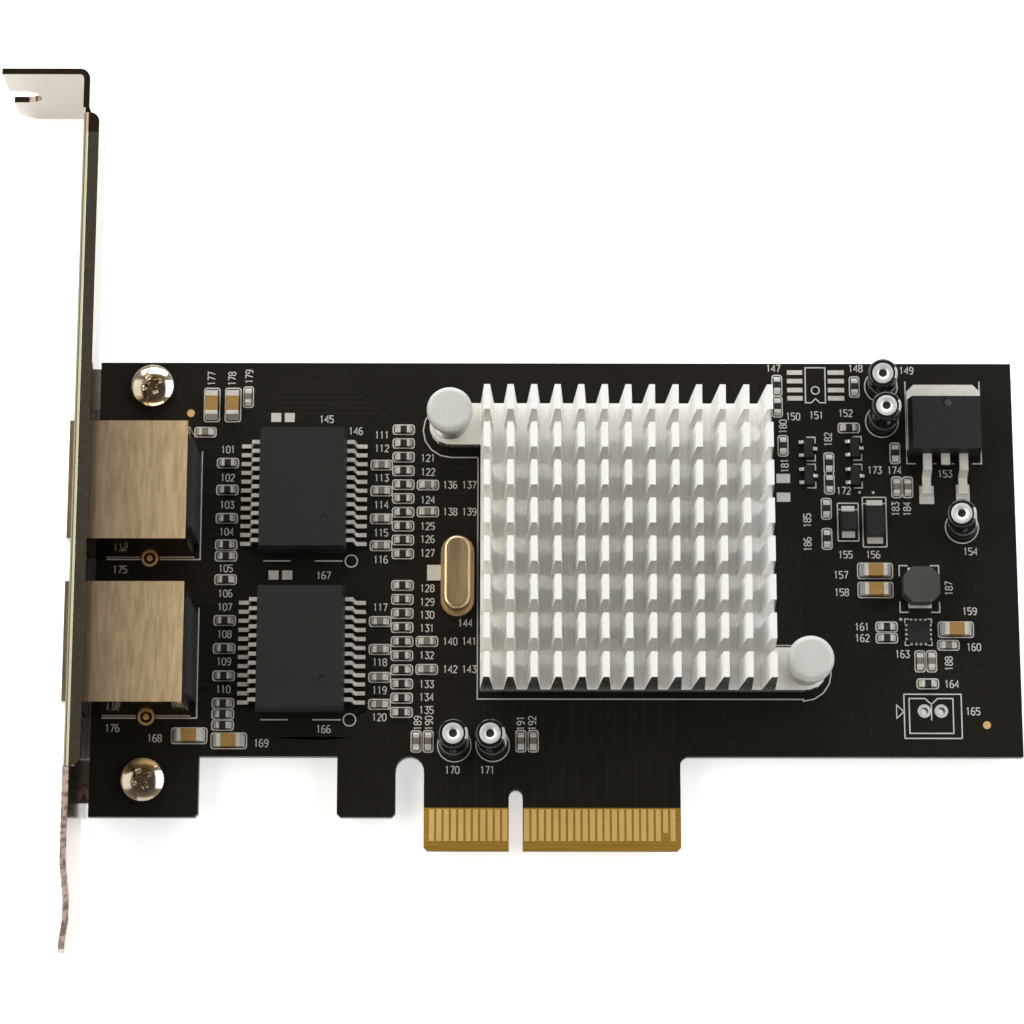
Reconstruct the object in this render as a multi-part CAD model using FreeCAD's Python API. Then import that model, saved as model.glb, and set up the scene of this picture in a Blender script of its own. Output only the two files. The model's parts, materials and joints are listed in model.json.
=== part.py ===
import FreeCAD, Part
import math
import os

# Two-port network interface card, low-profile board on a full-height bracket.
# Millimetres. The card lies on its back: X runs along the card, away from the bracket,
# Y runs from the edge connector to the top edge, Z points out of the component side.
# The origin is the centre of the connector's key notch, at the connector's edge,
# on the component face of the board.

V = FreeCAD.Vector

# Small round pieces have flat sides, to keep the model light
round_sides = 16
hole_sides = 12
wire_sides = 6

# Circuit board
board_thickness = 1.57
board_left = -58.5
board_right = 69.8
board_top = 68.9
board_edge = 12.97
board_corner_bevel = 0.5
tab_foot = 4.6
bracket_tab_right = -43.5
hook_left = -24.5
hook_right = -16.5
tongue_left = -12.6
tongue_right = 22.6
tongue_corner_radius = 1.2
key_width = 1.9
key_depth = 8.4
tongue_bevel = 1.3
tongue_bevel_angle = 20.0
board_screw_clearance = 0.25

# Edge contacts
contact_pitch = 1.0
contact_width = 0.7
contact_thickness = 0.06
contact_low = 1.36
contact_high = 5.7
short_contact_low = 2.45
contact_key_gap = 1.5
left_contacts = 11
right_contacts = 21

# Bracket, folded from one sheet
sheet = 0.86
bracket_inner = -59.3
bracket_front = 14.69
bracket_back = -3.73
bracket_top = 107.3
bracket_length = 122.3
ear_length = 11.43
ear_corner_radius = 3.0
ear_notch_width = 4.42
ear_notch_depth = 4.2
bend_radius = 0.6
flange_depth = 2.3
flange_foot = 24.6
flange_head = 6.4
flange_end_radius = 1.4
flange_relief = 0.7
tail_length = 19.7
tail_step_in = 4.03
tail_taper_height = 12.4
tail_taper_in = 5.2
tail_step = 0.57
tail_step_height = 11.9
tail_step_length = 4.9
tail_flat = 2.8
tail_kick = 0.55
flange_bend_radius = 0.9
window_clearance = 0.25
tab_width = 6.0
tab_corner_bevel = 1.2
tab_end_margin = 4.35
tail_corner_radius = 1.5

# Bracket screws
screw_x = -51.1
screw_heights = (65.36, 9.65)
screw_shank_radius = 1.35
screw_head_radius = 3.0
screw_head_height = 1.9
screw_end = 1.0
screw_recess_depth = 1.1
screw_recess_width = 0.75
screw_recess_span = 3.2
screw_turn = 25.0

# Network jacks
jack_centres = (48.9, 26.6)
jack_width = 16.4
jack_height = 13.4
jack_proud = 0.6
jack_rear = -44.7
shield_thickness = 0.25
housing_tail = 0.6
housing_drop = 1.6
housing_gap = 0.02
socket_width = 11.8
socket_height = 6.9
socket_low = 4.3
socket_depth = 12.6
latch_width = 6.4
latch_height = 1.5
catch_width = 3.3
catch_height = 1.3
jack_wires = 8
wire_pitch = 1.02
wire_width = 0.4
wire_thickness = 0.25
wire_drop = 2.3
wire_start = 3.0
wire_straight = 2.0
wire_seat_gap = 0.05
light_width = 2.7
light_height = 1.9
light_depth = 2.4
light_inset = 2.1
light_low = 0.9
shield_leg_x = -51.3
shield_leg_width = 1.6
shield_leg_length = 2.6
rear_flap = 1.7

# Line transformers
transformer_x = -29.6
transformer_centres = (49.7, 27.38)
transformer_width = 12.2
transformer_length = 17.45
transformer_top = 6.0
transformer_stand = 0.25
transformer_draft = 0.35
transformer_dot_radius = 0.6
transformer_dot_depth = 0.12
transformer_dot_inset = 2.9
transformer_dot_end = 4.1
lead_pitch = 1.27
leads_per_side = 12
lead_width = 0.55
lead_thickness = 0.25
lead_exit_height = 2.9
lead_shoulder = 0.95
lead_span = 17.6
lead_foot = 1.45

# Heat sink, pushed onto the controller chip
sink_x = 15.28
sink_y = 41.85
sink_size = 40.4
sink_floor_thickness = 2.0
fin_columns = 13
fin_rows = 8
fin_row_gap = 1.79
fin_root = 1.85
fin_tip = 0.8
fin_height = 10.5
ear_radius = 2.95
ear_reach = 4.2
chip_size = 17.0
chip_height = 1.6
chip_rim = 1.0
chip_substrate = 0.6
pad_thickness = 0.3
pad_size = 15.5

# Push pins and their springs
pin_head_radius = 3.2
pin_head_round = 0.8
pin_head_height = 2.2
pin_shaft_radius = 1.5
pin_hole_clearance = 0.15
spring_height = 6.4
spring_radius = 2.3
spring_wire = 0.5
spring_turns = 3.0
spring_turn_sides = 8
barb_radius = 2.0
barb_length = 2.0
barb_slot = 0.7

# Crystal
crystal_gap = 0.865
crystal_y = 38.2
crystal_base_length = 11.5
crystal_base_width = 4.65
crystal_base_height = 0.5
crystal_can_length = 10.5
crystal_can_width = 3.8
crystal_can_height = 3.0
crystal_can_bevel = 0.35
crystal_tab_length = 1.9
crystal_tab_width = 2.2
crystal_tab_thickness = 0.15

# Upright capacitors: foot, lean of the top
upright_capacitors = (
    (-3.15, 14.55, -0.35, 0.3),
    (-8.45, 14.5, -0.05, 0.35),
    (62.35, 45.3, -1.4, 0.0),
    (51.5, 65.6, -0.85, -0.5),
    (51.5, 60.5, -0.45, 0.0),
)
capacitor_radius = 2.1
capacitor_height = 8.9
capacitor_stand = 0.4
capacitor_disc_radius = 1.3
sleeve_thickness = 0.12
bung_height = 0.9
sleeve_fold = 0.3
capacitor_lead_radius = 0.25
capacitor_lead_pitch = 1.5
wire_hole_clearance = 0.1
capacitor_lead_gap = 0.2

# Regulator
regulator_x = 60.0
regulator_low = 55.2
regulator_width = 10.3
regulator_body_length = 8.3
regulator_height = 4.4
regulator_tab_thickness = 1.3
regulator_tab_reach = 2.0
regulator_lead_pitch = 2.54
regulator_lead_width = 1.2
regulator_lead_thickness = 0.5
regulator_lead_exit = 1.9
regulator_lead_reach = 5.2
regulator_lead_step = 2.0
regulator_stub = 1.4
regulator_draft = 0.4
regulator_dimple_radius = 0.6
regulator_dimple_inset = 1.3
regulator_dimple_depth = 0.15

# Inductor, converter chip, transistors, diodes
inductor_x = 56.1
inductor_y = 36.6
inductor_size = 5.0
inductor_height = 3.0
inductor_corner = 1.2
inductor_terminal_width = 3.2
inductor_terminal_thickness = 0.3
inductor_terminal_reach = 0.35
converter_x = 55.8
converter_y = 30.4
converter_size = 3.0
converter_height = 0.85
converter_pads_per_side = 4
converter_pad_pitch = 0.65
converter_pad_width = 0.35
converter_pad_reach = 0.35
transistor_places = ((41.0, 56.5), (41.0, 52.6), (47.5, 56.6), (47.5, 52.6))
transistor_width = 1.4
transistor_length = 2.9
transistor_height = 1.0
transistor_lead_pitch = 1.9
transistor_lead_width = 0.45
transistor_lead_thickness = 0.15
transistor_lead_span = 2.6
transistor_lead_seat = 0.3
transistor_lead_shoulder = 0.2
transistor_draft = 0.12
diode_places = ((46.4, 46.0, 2.3, 2.7), (50.1, 46.0, 2.7, 4.4))
diode_height = 1.6
diode_terminal_reach = 0.9
diode_terminal_thickness = 0.25

# Chip resistors and capacitors
chip_length = 1.7
chip_width = 0.9
chip_body_height = 0.5
chip_end = 0.4
chip_solder = 0.4
large_chip_length = 3.2
large_chip_width = 1.7
large_chip_height = 1.3
large_chip_end = 0.55
large_chip_solder = 0.6

# Resistors: place and turn, with the long side along X unless turned
left_column_x = -40.35
left_column = (54.33, 50.47, 46.41, 42.64, 41.01, 37.69, 31.91, 27.98, 24.14, 20.31, 18.78, 17.25)
terminator_x = -18.8
terminator_column = (54.08, 50.36, 46.37, 42.53, 31.80, 27.87, 23.96, 20.20)
pull_up_x = -15.75
pull_up_pitch = 1.98
pull_up_count = 10
pull_up_tops = (59.2, 36.9)
filter_x = -12.3
filter_column = (51.23, 47.38, 29.0, 25.08)
other_resistors = (
    (36.8, 65.7, True), (36.8, 62.6, True), (47.7, 65.5, True), (46.8, 59.55, False),
    (43.9, 54.45, True), (43.9, 51.5, True), (37.5, 56.95, True), (53.2, 55.9, True),
    (51.4, 31.13, False), (51.4, 29.55, False), (56.9, 23.15, False),
)
other_small_capacitors = (
    (-43.6, 58.8, False), (-37.65, 63.9, True), (-13.7, 15.05, True), (-12.05, 15.05, True),
    (0.7, 15.1, True), (2.4, 15.1, True), (53.3, 51.0, True), (54.85, 51.0, True),
    (59.9, 28.55, False), (55.9, 26.3, True), (57.5, 26.3, True),
)
large_capacitors = (
    (-42.75, 62.75, True), (-39.8, 62.75, True), (-44.9, 15.8, False), (-39.45, 15.1, False),
    (50.0, 39.05, False), (50.0, 36.35, False), (61.0, 30.75, False),
)
ballast_resistors = ((43.4, 47.9, True), (43.4, 43.6, True))
solder_thickness = 0.08

# Header footprint and solder joints on the back
header_y = 19.35
header_x = 57.5
header_pitch = 2.34
header_hole_radius = 0.5
joint_radius = 0.74
joint_top_radius = 0.3
joint_height = 1.0
jack_pin_rows = ((-46.4, 1.27), (-48.94, 0.0))
jack_pin_pitch = 2.54
jack_pins_per_row = 4
jack_peg_x = -53.9
jack_peg_radius = 1.6
jack_peg_inset = 1.85
jack_peg_length = 2.0
jack_peg_clearance = 0.05

# Worked out from the sizes above
board_back = -board_thickness
bracket_outer = bracket_inner - sheet
bracket_tip = bracket_top - bracket_length
flange_low = bracket_tip + flange_foot
flange_high = bracket_top - flange_head
tail_shoulder = bracket_tip + tail_length
tail_step_start = bracket_tip + tail_step_height
ear_under = bracket_top - sheet
ear_end = bracket_outer - ear_length
bracket_middle = (bracket_front + bracket_back) / 2
jack_front = bracket_outer - jack_proud
light_offset = jack_width / 2 - light_inset
jack_peg_offset = jack_width / 2 - jack_peg_inset
tab_reach = screw_x + tab_end_margin - bracket_inner
crystal_x = sink_x - sink_size / 2 - crystal_gap - crystal_base_width / 2
sink_low = chip_height + pad_thickness
sink_floor = sink_low + sink_floor_thickness
fin_column_pitch = (sink_size - fin_root) / (fin_columns - 1)
fin_length = (sink_size + fin_row_gap) / fin_rows - fin_row_gap
pin_offset_x = sink_size / 2 + ear_reach
pin_offset_y = sink_size / 2 - ear_radius
pin_places = (
    (sink_x - pin_offset_x, sink_y + pin_offset_y),
    (sink_x + pin_offset_x, sink_y - pin_offset_y),
)


def block(x0, x1, y0, y1, z0, z1):
    """A box between two corners."""
    return Part.makeBox(x1 - x0, y1 - y0, z1 - z0, V(x0, y0, z0))


def post(radius, x, y, z0, z1, sides=round_sides):
    """An upright round piece with flat sides."""
    return turned([(radius, z0), (radius, z1)], x, y, sides)


def turned(profile, x, y, sides=round_sides):
    """A turned piece with flat sides, from (radius, height) pairs going up."""
    loops = []
    for radius, z in profile:
        angles = [2 * math.pi * (i + 0.5) / sides for i in range(sides)]
        loops.append([V(x + radius * math.cos(a), y + radius * math.sin(a), z) for a in angles])
    outlines = [loops[0], loops[-1]]
    for low, high in zip(loops, loops[1:]):
        for i in range(sides):
            j = (i + 1) % sides
            outlines.append([low[i], low[j], high[j], high[i]])
    faces = [Part.Face(Part.makePolygon(points + [points[0]])) for points in outlines]
    return Part.Solid(Part.Shell(faces))


def prism(points, direction):
    """A solid swept straight from a closed outline of points."""
    outline = [V(*p) for p in points]
    outline.append(outline[0])
    return Part.Face(Part.makePolygon(outline)).extrude(direction)


def plan(points, z0, z1):
    """An outline in the XY plane, raised from z0 to z1."""
    return prism([(x, y, z0) for x, y in points], V(0, 0, z1 - z0))


def joined(pieces):
    """One solid from pieces that touch."""
    first = pieces[0]
    return first.fuse(pieces[1:]).removeSplitter() if len(pieces) > 1 else first


def round_verticals(solid, corners):
    """Round the upright edges that stand at the given corners, each with its radius."""
    for x, y, radius in corners:
        edges = []
        for edge in solid.Edges:
            a = edge.Vertexes[0].Point
            b = edge.Vertexes[-1].Point
            upright = abs(a.x - b.x) < 0.001 and abs(a.y - b.y) < 0.001
            if upright and abs(a.x - x) < 0.01 and abs(a.y - y) < 0.01:
                edges.append(edge)
        solid = solid.makeFillet(radius, edges)
    return solid


def strip_outline(path, thickness):
    """The outline of a bent strip whose middle line is the path, with mitred bends."""
    left = []
    right = []
    for i, (px, py) in enumerate(path):
        before = path[max(i - 1, 0)]
        after = path[min(i + 1, len(path) - 1)]
        into = (px - before[0], py - before[1]) if i > 0 else (after[0] - px, after[1] - py)
        out = (after[0] - px, after[1] - py) if i < len(path) - 1 else into
        into_length = math.hypot(*into)
        out_length = math.hypot(*out)
        nx = -into[1] / into_length - out[1] / out_length
        ny = into[0] / into_length + out[0] / out_length
        size = math.hypot(nx, ny)
        reach = thickness / size
        left.append((px + nx / size * reach, py + ny / size * reach))
        right.append((px - nx / size * reach, py - ny / size * reach))
    return left + right[::-1]


def group(name, solids):
    """Write one node, made of one or more separate solids."""
    shape = solids[0] if len(solids) == 1 else Part.makeCompound(solids)
    shape.exportStep("parts/" + name + ".step")
    return shape


# Circuit board, with its tongue, hook, notches and holes
def make_board():
    slot_middle = (hook_right + tongue_left) / 2
    slot_radius = (tongue_left - hook_right) / 2
    outline = [
        (board_left, tab_foot), (bracket_tab_right, tab_foot), (bracket_tab_right, board_edge),
        (hook_left, board_edge), (hook_left, tab_foot), (hook_right, tab_foot),
        (hook_right, board_edge - slot_radius), (tongue_left, board_edge - slot_radius),
        (tongue_left, 0), (tongue_right, 0), (tongue_right, board_edge),
        (board_right, board_edge), (board_right, board_top), (board_left, board_top),
    ]
    board = plan(outline, board_back, 0)
    board = round_verticals(board, [(tongue_right, board_edge, tongue_corner_radius)])
    b = board_corner_bevel
    for x, y in ((bracket_tab_right, tab_foot), (hook_left, tab_foot), (hook_right, tab_foot),
                 (tongue_left, 0), (tongue_right, 0)):
        side = 1 if x in (bracket_tab_right, hook_right, tongue_right) else -1
        waste = plan([(x - side * b, y), (x + side, y - 1), (x, y + b)], board_back, 0)
        board = board.cut(waste)
    key_half = key_width / 2
    cuts = [
        post(slot_radius, slot_middle, board_edge - slot_radius, board_back, 0),
        block(-key_half, key_half, -1, key_depth - key_half, board_back, 0),
        post(key_half, 0, key_depth - key_half, board_back, 0, hole_sides),
    ]
    bevel = tongue_bevel * math.tan(math.radians(tongue_bevel_angle))
    for face, side in ((0, 1), (board_back, -1)):
        wedge = [
            (tongue_left - 1, 0, face - side * bevel), (tongue_left - 1, 0, face + side),
            (tongue_left - 1, tongue_bevel, face + side), (tongue_left - 1, tongue_bevel, face),
        ]
        cuts.append(prism(wedge, V(tongue_right - tongue_left + 2, 0, 0)))
    for y in screw_heights:
        cuts.append(post(screw_shank_radius + board_screw_clearance, screw_x, y, board_back, 0))
    for x, y in pin_places:
        cuts.append(post(pin_shaft_radius + pin_hole_clearance, x, y, board_back, 0))
    for y in jack_centres:
        for side in (-1, 1):
            y_peg = y + side * jack_peg_offset
            cuts.append(post(jack_peg_radius, jack_peg_x, y_peg, board_back, 0, hole_sides))
            y_leg = y + side * (jack_width - shield_thickness) / 2
            cuts.append(leg_block(y_leg, board_back, 0))
    for side in (-1, 1):
        x = header_x + side * header_pitch / 2
        cuts.append(post(header_hole_radius, x, header_y, board_back, 0, hole_sides))
    for x, y in capacitor_wire_places():
        cuts.append(post(capacitor_lead_radius + wire_hole_clearance, x, y, board_back, 0,
                         wire_sides))
    return board.cut(cuts)


def leg_block(y, z0, z1):
    """The part of a shield leg between two heights."""
    half = shield_leg_width / 2
    thick = shield_thickness / 2
    return block(shield_leg_x - half, shield_leg_x + half, y - thick, y + thick, z0, z1)


# Gold contacts on both faces of the tongue
def make_contacts():
    places = [-contact_key_gap - contact_pitch * i for i in range(left_contacts)]
    places += [contact_key_gap + contact_pitch * i for i in range(right_contacts)]
    front_short = contact_key_gap + contact_pitch * (right_contacts - 2)
    back_short = min(places)
    half = contact_width / 2
    contacts = []
    for x in sorted(places):
        low = short_contact_low if x == front_short else contact_low
        contacts.append(block(x - half, x + half, low, contact_high, 0, contact_thickness))
        low = short_contact_low if x == back_short else contact_low
        z = board_back
        contacts.append(block(x - half, x + half, low, contact_high, z - contact_thickness, z))
    return contacts


# Bracket, folded from one sheet of steel
def make_bracket():
    middle = bracket_inner - sheet / 2
    step_end = tail_step_start - tail_step_length
    flat_end = step_end - tail_flat
    path = [
        (ear_end, bracket_top - sheet / 2), (middle, bracket_top - sheet / 2),
        (middle, tail_step_start), (middle + tail_step, step_end),
        (middle + tail_step, flat_end), (middle + tail_step - tail_kick, bracket_tip),
    ]
    outline = [(x, y, bracket_back) for x, y in strip_outline(path, sheet)]
    strip = prism(outline, V(0, 0, bracket_front - bracket_back))
    bends = []
    for edge in strip.Edges:
        a = edge.Vertexes[0].Point
        b = edge.Vertexes[-1].Point
        if abs(a.x - b.x) > 0.001 or abs(a.y - b.y) > 0.001:
            continue
        if abs(a.x - bracket_inner) < 0.01 and abs(a.y - bracket_top) < 0.01:
            bends.append((edge, bend_radius + sheet))
        if abs(a.x - bracket_outer) < 0.01 and abs(a.y - ear_under) < 0.01:
            bends.append((edge, bend_radius))
    for edge, radius in bends:
        strip = round_bend(strip, edge, radius)
    flange = block(bracket_outer, bracket_outer + flange_depth, flange_low, flange_high,
                   bracket_front - sheet, bracket_front)
    flange = round_verticals(flange, [
        (bracket_outer + flange_depth, flange_low, flange_end_radius),
        (bracket_outer + flange_depth, flange_high, flange_end_radius),
    ])
    tabs = []
    for y in screw_heights:
        tab = block(bracket_outer, bracket_inner + tab_reach, y - tab_width / 2, y + tab_width / 2,
                    board_back - sheet, board_back)
        for side in (-1, 1):
            corner = y + side * tab_width / 2
            end = bracket_inner + tab_reach
            tab = tab.cut(plan([(end - tab_corner_bevel, corner), (end, corner + side),
                                (end + 1, corner), (end, corner - side * tab_corner_bevel)],
                               board_back - sheet, board_back))
        tabs.append(tab)
    bracket = joined([strip, flange] + tabs)
    return bracket.common(bracket_outline()).cut(bracket_cuts())


def round_bend(solid, edge, radius):
    """Round the one edge of the solid that lies where the given edge lay."""
    place = edge.CenterOfMass
    same = [e for e in solid.Edges if e.CenterOfMass.distanceToPoint(place) < 0.001]
    return solid.makeFillet(radius, same)


def bracket_outline():
    """The outline of the flat side: full width, then stepped and tapered to the tail."""
    taper_start = bracket_tip + tail_taper_height
    tail_back = bracket_back + tail_step_in
    corner = tail_corner_radius
    points = [
        (bracket_back, bracket_top), (bracket_front, bracket_top),
        (bracket_front, bracket_tip + corner), (bracket_front - corner / 3, bracket_tip + corner / 3),
        (bracket_front - corner, bracket_tip), (tail_back + tail_taper_in, bracket_tip),
        (tail_back, taper_start), (tail_back, tail_shoulder), (bracket_back, tail_shoulder),
    ]
    side = prism([(ear_end - 1, y, z) for z, y in points],
                 V(bracket_inner + tab_reach - ear_end + 2, 0, 0))
    return side


def bracket_cuts():
    """Screw notch in the ear, flange relief, jack windows and threaded holes."""
    half = ear_notch_width / 2
    notch_end = ear_end + ear_notch_depth
    low = ear_under - 1
    cuts = [
        block(ear_end - 1, notch_end - half, low, bracket_top + 1,
              bracket_middle - half, bracket_middle + half),
        Part.makeCylinder(half, sheet + 2, V(notch_end - half, low, bracket_middle), V(0, 1, 0)),
        block(bracket_outer - 1, bracket_outer + flange_depth + 1, flange_high,
              flange_high + flange_relief, bracket_front - flange_depth, bracket_front + 1),
        ear_corner_cut(),
        flange_bend_cut(),
    ]
    for y in jack_centres:
        half_width = jack_width / 2 + window_clearance
        cuts.append(block(bracket_outer - 1, bracket_inner + 0.5, y - half_width, y + half_width,
                          -window_clearance, jack_height + window_clearance))
    for y in screw_heights:
        z = board_back - sheet
        cuts.append(post(screw_shank_radius, screw_x, y, z, board_back))
    return cuts


def ear_corner_cut():
    """The waste outside the rounded far corner of the ear."""
    r = ear_corner_radius
    low = ear_under - 1
    high = bracket_top + 1
    square = block(ear_end - 1, ear_end + r, low, high, bracket_back - 1, bracket_back + r)
    corner = Part.makeCylinder(r, high - low, V(ear_end + r, low, bracket_back + r), V(0, 1, 0))
    return square.cut(corner)


def flange_bend_cut():
    """The waste outside the bend between the face and its stiffening flange."""
    r = flange_bend_radius
    square = block(bracket_outer - 1, bracket_outer + r, flange_low, flange_high,
                   bracket_front - r, bracket_front + 1)
    middle = V(bracket_outer + r, flange_low, bracket_front - r)
    return square.cut(Part.makeCylinder(r, flange_high - flange_low, middle, V(0, 1, 0)))


# Pan-head screws through the board into the bracket's tabs
def make_screw(y):
    r = screw_head_radius
    h = screw_head_height
    head = turned([(r, 0), (r, h * 0.35), (r * 0.86, h * 0.75), (r * 0.5, h)], screw_x, y)
    foot = board_back - sheet - screw_end
    shank = post(screw_shank_radius, screw_x, y, foot, 0)
    cross = []
    for angle in (0, 90):
        slot = block(-screw_recess_span / 2, screw_recess_span / 2, -screw_recess_width / 2,
                     screw_recess_width / 2, h - screw_recess_depth, h + 1)
        slot.rotate(V(0, 0, 0), V(0, 0, 1), angle + screw_turn)
        slot.translate(V(screw_x, y, 0))
        cross.append(slot)
    return head.fuse(shank).removeSplitter().cut(cross)


# Network jack: metal shield, moulded housing, contact wires and light windows
def make_shield(y):
    half = jack_width / 2
    t = shield_thickness
    shell = block(jack_front, jack_rear, y - half, y + half, 0, jack_height)
    hollow = block(jack_front + t, jack_rear + 1, y - half + t, y + half - t, -1, jack_height - t)
    shell = shell.cut([hollow] + socket_shapes(y, jack_front - 1, jack_front + t + 0.5))
    pieces = [shell]
    for side in (-1, 1):
        y_wall = y + side * (half - t / 2)
        pieces.append(leg_block(y_wall, -shield_leg_length, t))
        inner = y + side * (half - rear_flap)
        outer = y + side * half
        pieces.append(block(jack_rear - t, jack_rear, min(inner, outer), max(inner, outer),
                            jack_height - housing_drop - 2.0, jack_height))
    return joined(pieces)


def socket_shapes(y, x0, x1):
    """The opening that the plug goes into, with its latch steps, and the light windows."""
    latch_low = socket_low - latch_height
    catch_low = latch_low - catch_height
    steps = [
        (socket_width, socket_low, socket_low + socket_height),
        (latch_width, latch_low, socket_low),
        (catch_width, catch_low, latch_low),
    ]
    shapes = [block(x0, x1, y - w / 2, y + w / 2, z0, z1) for w, z0, z1 in steps]
    for side in (-1, 1):
        centre = y + side * light_offset
        shapes.append(block(x0, x1, centre - light_width / 2, centre + light_width / 2,
                            light_low, light_low + light_height))
    return shapes


def make_housing(y):
    gap = shield_thickness + housing_gap
    half = jack_width / 2 - gap
    front = jack_front + gap
    rear = jack_rear - gap
    top = jack_height - gap
    body = block(front, rear, y - half, y + half, 0, top)
    tail_half = half - rear_flap
    tail = block(rear, jack_rear + housing_tail, y - tail_half, y + tail_half, 0,
                 jack_height - housing_drop)
    pieces = [body, tail]
    for side in (-1, 1):
        y_peg = y + side * jack_peg_offset
        pieces.append(post(jack_peg_radius - jack_peg_clearance, jack_peg_x, y_peg,
                           -jack_peg_length, 0, hole_sides))
    plug_space = socket_shapes(y, front - 1, jack_front + socket_depth)[:3]
    lights = socket_shapes(y, front - 1, jack_front + light_depth)[3:]
    return joined(pieces).cut(plug_space + lights)


def make_wires(y):
    """Eight springy wires that slope down from the roof of the socket to its back wall."""
    roof = socket_low + socket_height
    back = jack_front + socket_depth
    start_x = jack_front + wire_start
    path = [
        (start_x, roof - wire_thickness / 2), (start_x + wire_straight, roof - wire_thickness / 2),
        (back - wire_seat_gap, roof - wire_drop),
    ]
    outline = strip_outline(path, wire_thickness)
    wires = []
    for i in range(jack_wires):
        start = y + (i - (jack_wires - 1) / 2) * wire_pitch - wire_width / 2
        wires.append(prism([(x, start, z) for x, z in outline], V(0, wire_width, 0)))
    return wires


def make_lights(y):
    lights = []
    for shape in socket_shapes(y, jack_front, jack_front + light_depth)[3:]:
        lights.append(shape)
    return lights


# Line transformer: moulded body with two rows of gull-wing leads
def make_transformer_body(y):
    half_w = transformer_width / 2
    half_l = transformer_length / 2
    d = transformer_draft
    seam = lead_exit_height + lead_thickness / 2
    lower = tapered_block(transformer_x, y, half_w, half_l, d, transformer_stand, seam, False)
    upper = tapered_block(transformer_x, y, half_w, half_l, d, seam, transformer_top, True)
    dot = post(transformer_dot_radius, transformer_x + half_w - transformer_dot_inset,
               y - half_l + transformer_dot_end, transformer_top - transformer_dot_depth,
               transformer_top, hole_sides)
    return lower.fuse(upper).removeSplitter().cut(dot)


def tapered_block(x, y, half_x, half_y, draft, z0, z1, narrow_top):
    """A moulded block whose sides lean in towards its top or its foot."""
    wide = [(x - half_x, y - half_y), (x + half_x, y - half_y),
            (x + half_x, y + half_y), (x - half_x, y + half_y)]
    inset = [(x - half_x + draft, y - half_y + draft), (x + half_x - draft, y - half_y + draft),
             (x + half_x - draft, y + half_y - draft), (x - half_x + draft, y + half_y - draft)]
    low, high = (wide, inset) if narrow_top else (inset, wide)
    wires = []
    for points, z in ((low, z0), (high, z1)):
        loop = [V(px, py, z) for px, py in points]
        loop.append(loop[0])
        wires.append(Part.makePolygon(loop))
    return Part.makeLoft(wires, True, True)


def make_transformer_leads(y):
    leads = []
    exit_z = lead_exit_height
    foot_z = solder_thickness + lead_thickness / 2
    half_body = transformer_width / 2
    tip = lead_span / 2
    bend = half_body + lead_shoulder
    for side in (-1, 1):
        path = [
            (transformer_x + side * half_body, exit_z), (transformer_x + side * bend, exit_z),
            (transformer_x + side * (tip - lead_foot), foot_z), (transformer_x + side * tip, foot_z),
        ]
        outline = strip_outline(path, lead_thickness)
        for i in range(leads_per_side):
            start = y + (i - (leads_per_side - 1) / 2) * lead_pitch - lead_width / 2
            leads.append(prism([(x, start, z) for x, z in outline], V(0, lead_width, 0)))
    return leads


# Heat sink: extruded fins cut across into pins, with two ears for the push pins
def make_heat_sink():
    half = sink_size / 2
    base = block(sink_x - half, sink_x + half, sink_y - half, sink_y + half, sink_low, sink_floor)
    pieces = [base]
    for side, (x, y) in zip((-1, 1), pin_places):
        edge = sink_x + side * half
        pieces.append(block(min(edge, x), max(edge, x), y - ear_radius, y + ear_radius,
                            sink_low, sink_floor))
        pieces.append(post(ear_radius, x, y, sink_low, sink_floor))
    slab = joined(pieces)
    holes = [post(pin_shaft_radius + pin_hole_clearance, x, y, sink_low, sink_floor)
             for x, y in pin_places]
    slab = slab.cut(holes)
    top = sink_floor + fin_height
    first_x = sink_x - half + fin_root / 2
    comb = [(first_x - fin_root / 2, sink_floor - sink_floor_thickness / 2)]
    for i in range(fin_columns):
        x = first_x + i * fin_column_pitch
        comb.append((x - fin_root / 2, sink_floor))
        comb.append((x - fin_tip / 2, top))
        comb.append((x + fin_tip / 2, top))
        comb.append((x + fin_root / 2, sink_floor))
    comb.append((x + fin_root / 2, sink_floor - sink_floor_thickness / 2))
    rows = []
    for j in range(fin_rows):
        y = sink_y - half + j * (fin_length + fin_row_gap)
        rows.append(prism([(px, y, pz) for px, pz in comb], V(0, fin_length, 0)))
    return joined([slab] + rows)


def make_chip():
    half = chip_size / 2
    top = half - chip_rim
    substrate = block(sink_x - half, sink_x + half, sink_y - half, sink_y + half,
                      0, chip_substrate)
    cap = block(sink_x - top, sink_x + top, sink_y - top, sink_y + top,
                chip_substrate, chip_height)
    return substrate.fuse(cap).removeSplitter()


def make_thermal_pad():
    half = pad_size / 2
    return block(sink_x - half, sink_x + half, sink_y - half, sink_y + half, chip_height, sink_low)


# Push pins: domed head, shaft through sink and board, split barbed point
def make_push_pin(x, y):
    head_low = sink_floor + spring_height
    head_top = head_low + pin_head_height
    barb_top = board_back
    tip = barb_top - barb_length
    crown = pin_head_round
    head = turned([(pin_head_radius - 0.2, head_low), (pin_head_radius, head_low + 0.3),
                   (pin_head_radius, head_top - crown), (pin_head_radius - crown, head_top)], x, y)
    shaft = post(pin_shaft_radius, x, y, barb_top, head_low)
    barb = turned([(pin_shaft_radius * 0.55, tip), (barb_radius, barb_top - 0.3),
                   (pin_shaft_radius, barb_top)], x, y)
    pin = joined([head, shaft, barb])
    slot = block(x - barb_slot / 2, x + barb_slot / 2, y - 3, y + 3, tip - 1, board_back + 0.6)
    return pin.cut(slot)


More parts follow.
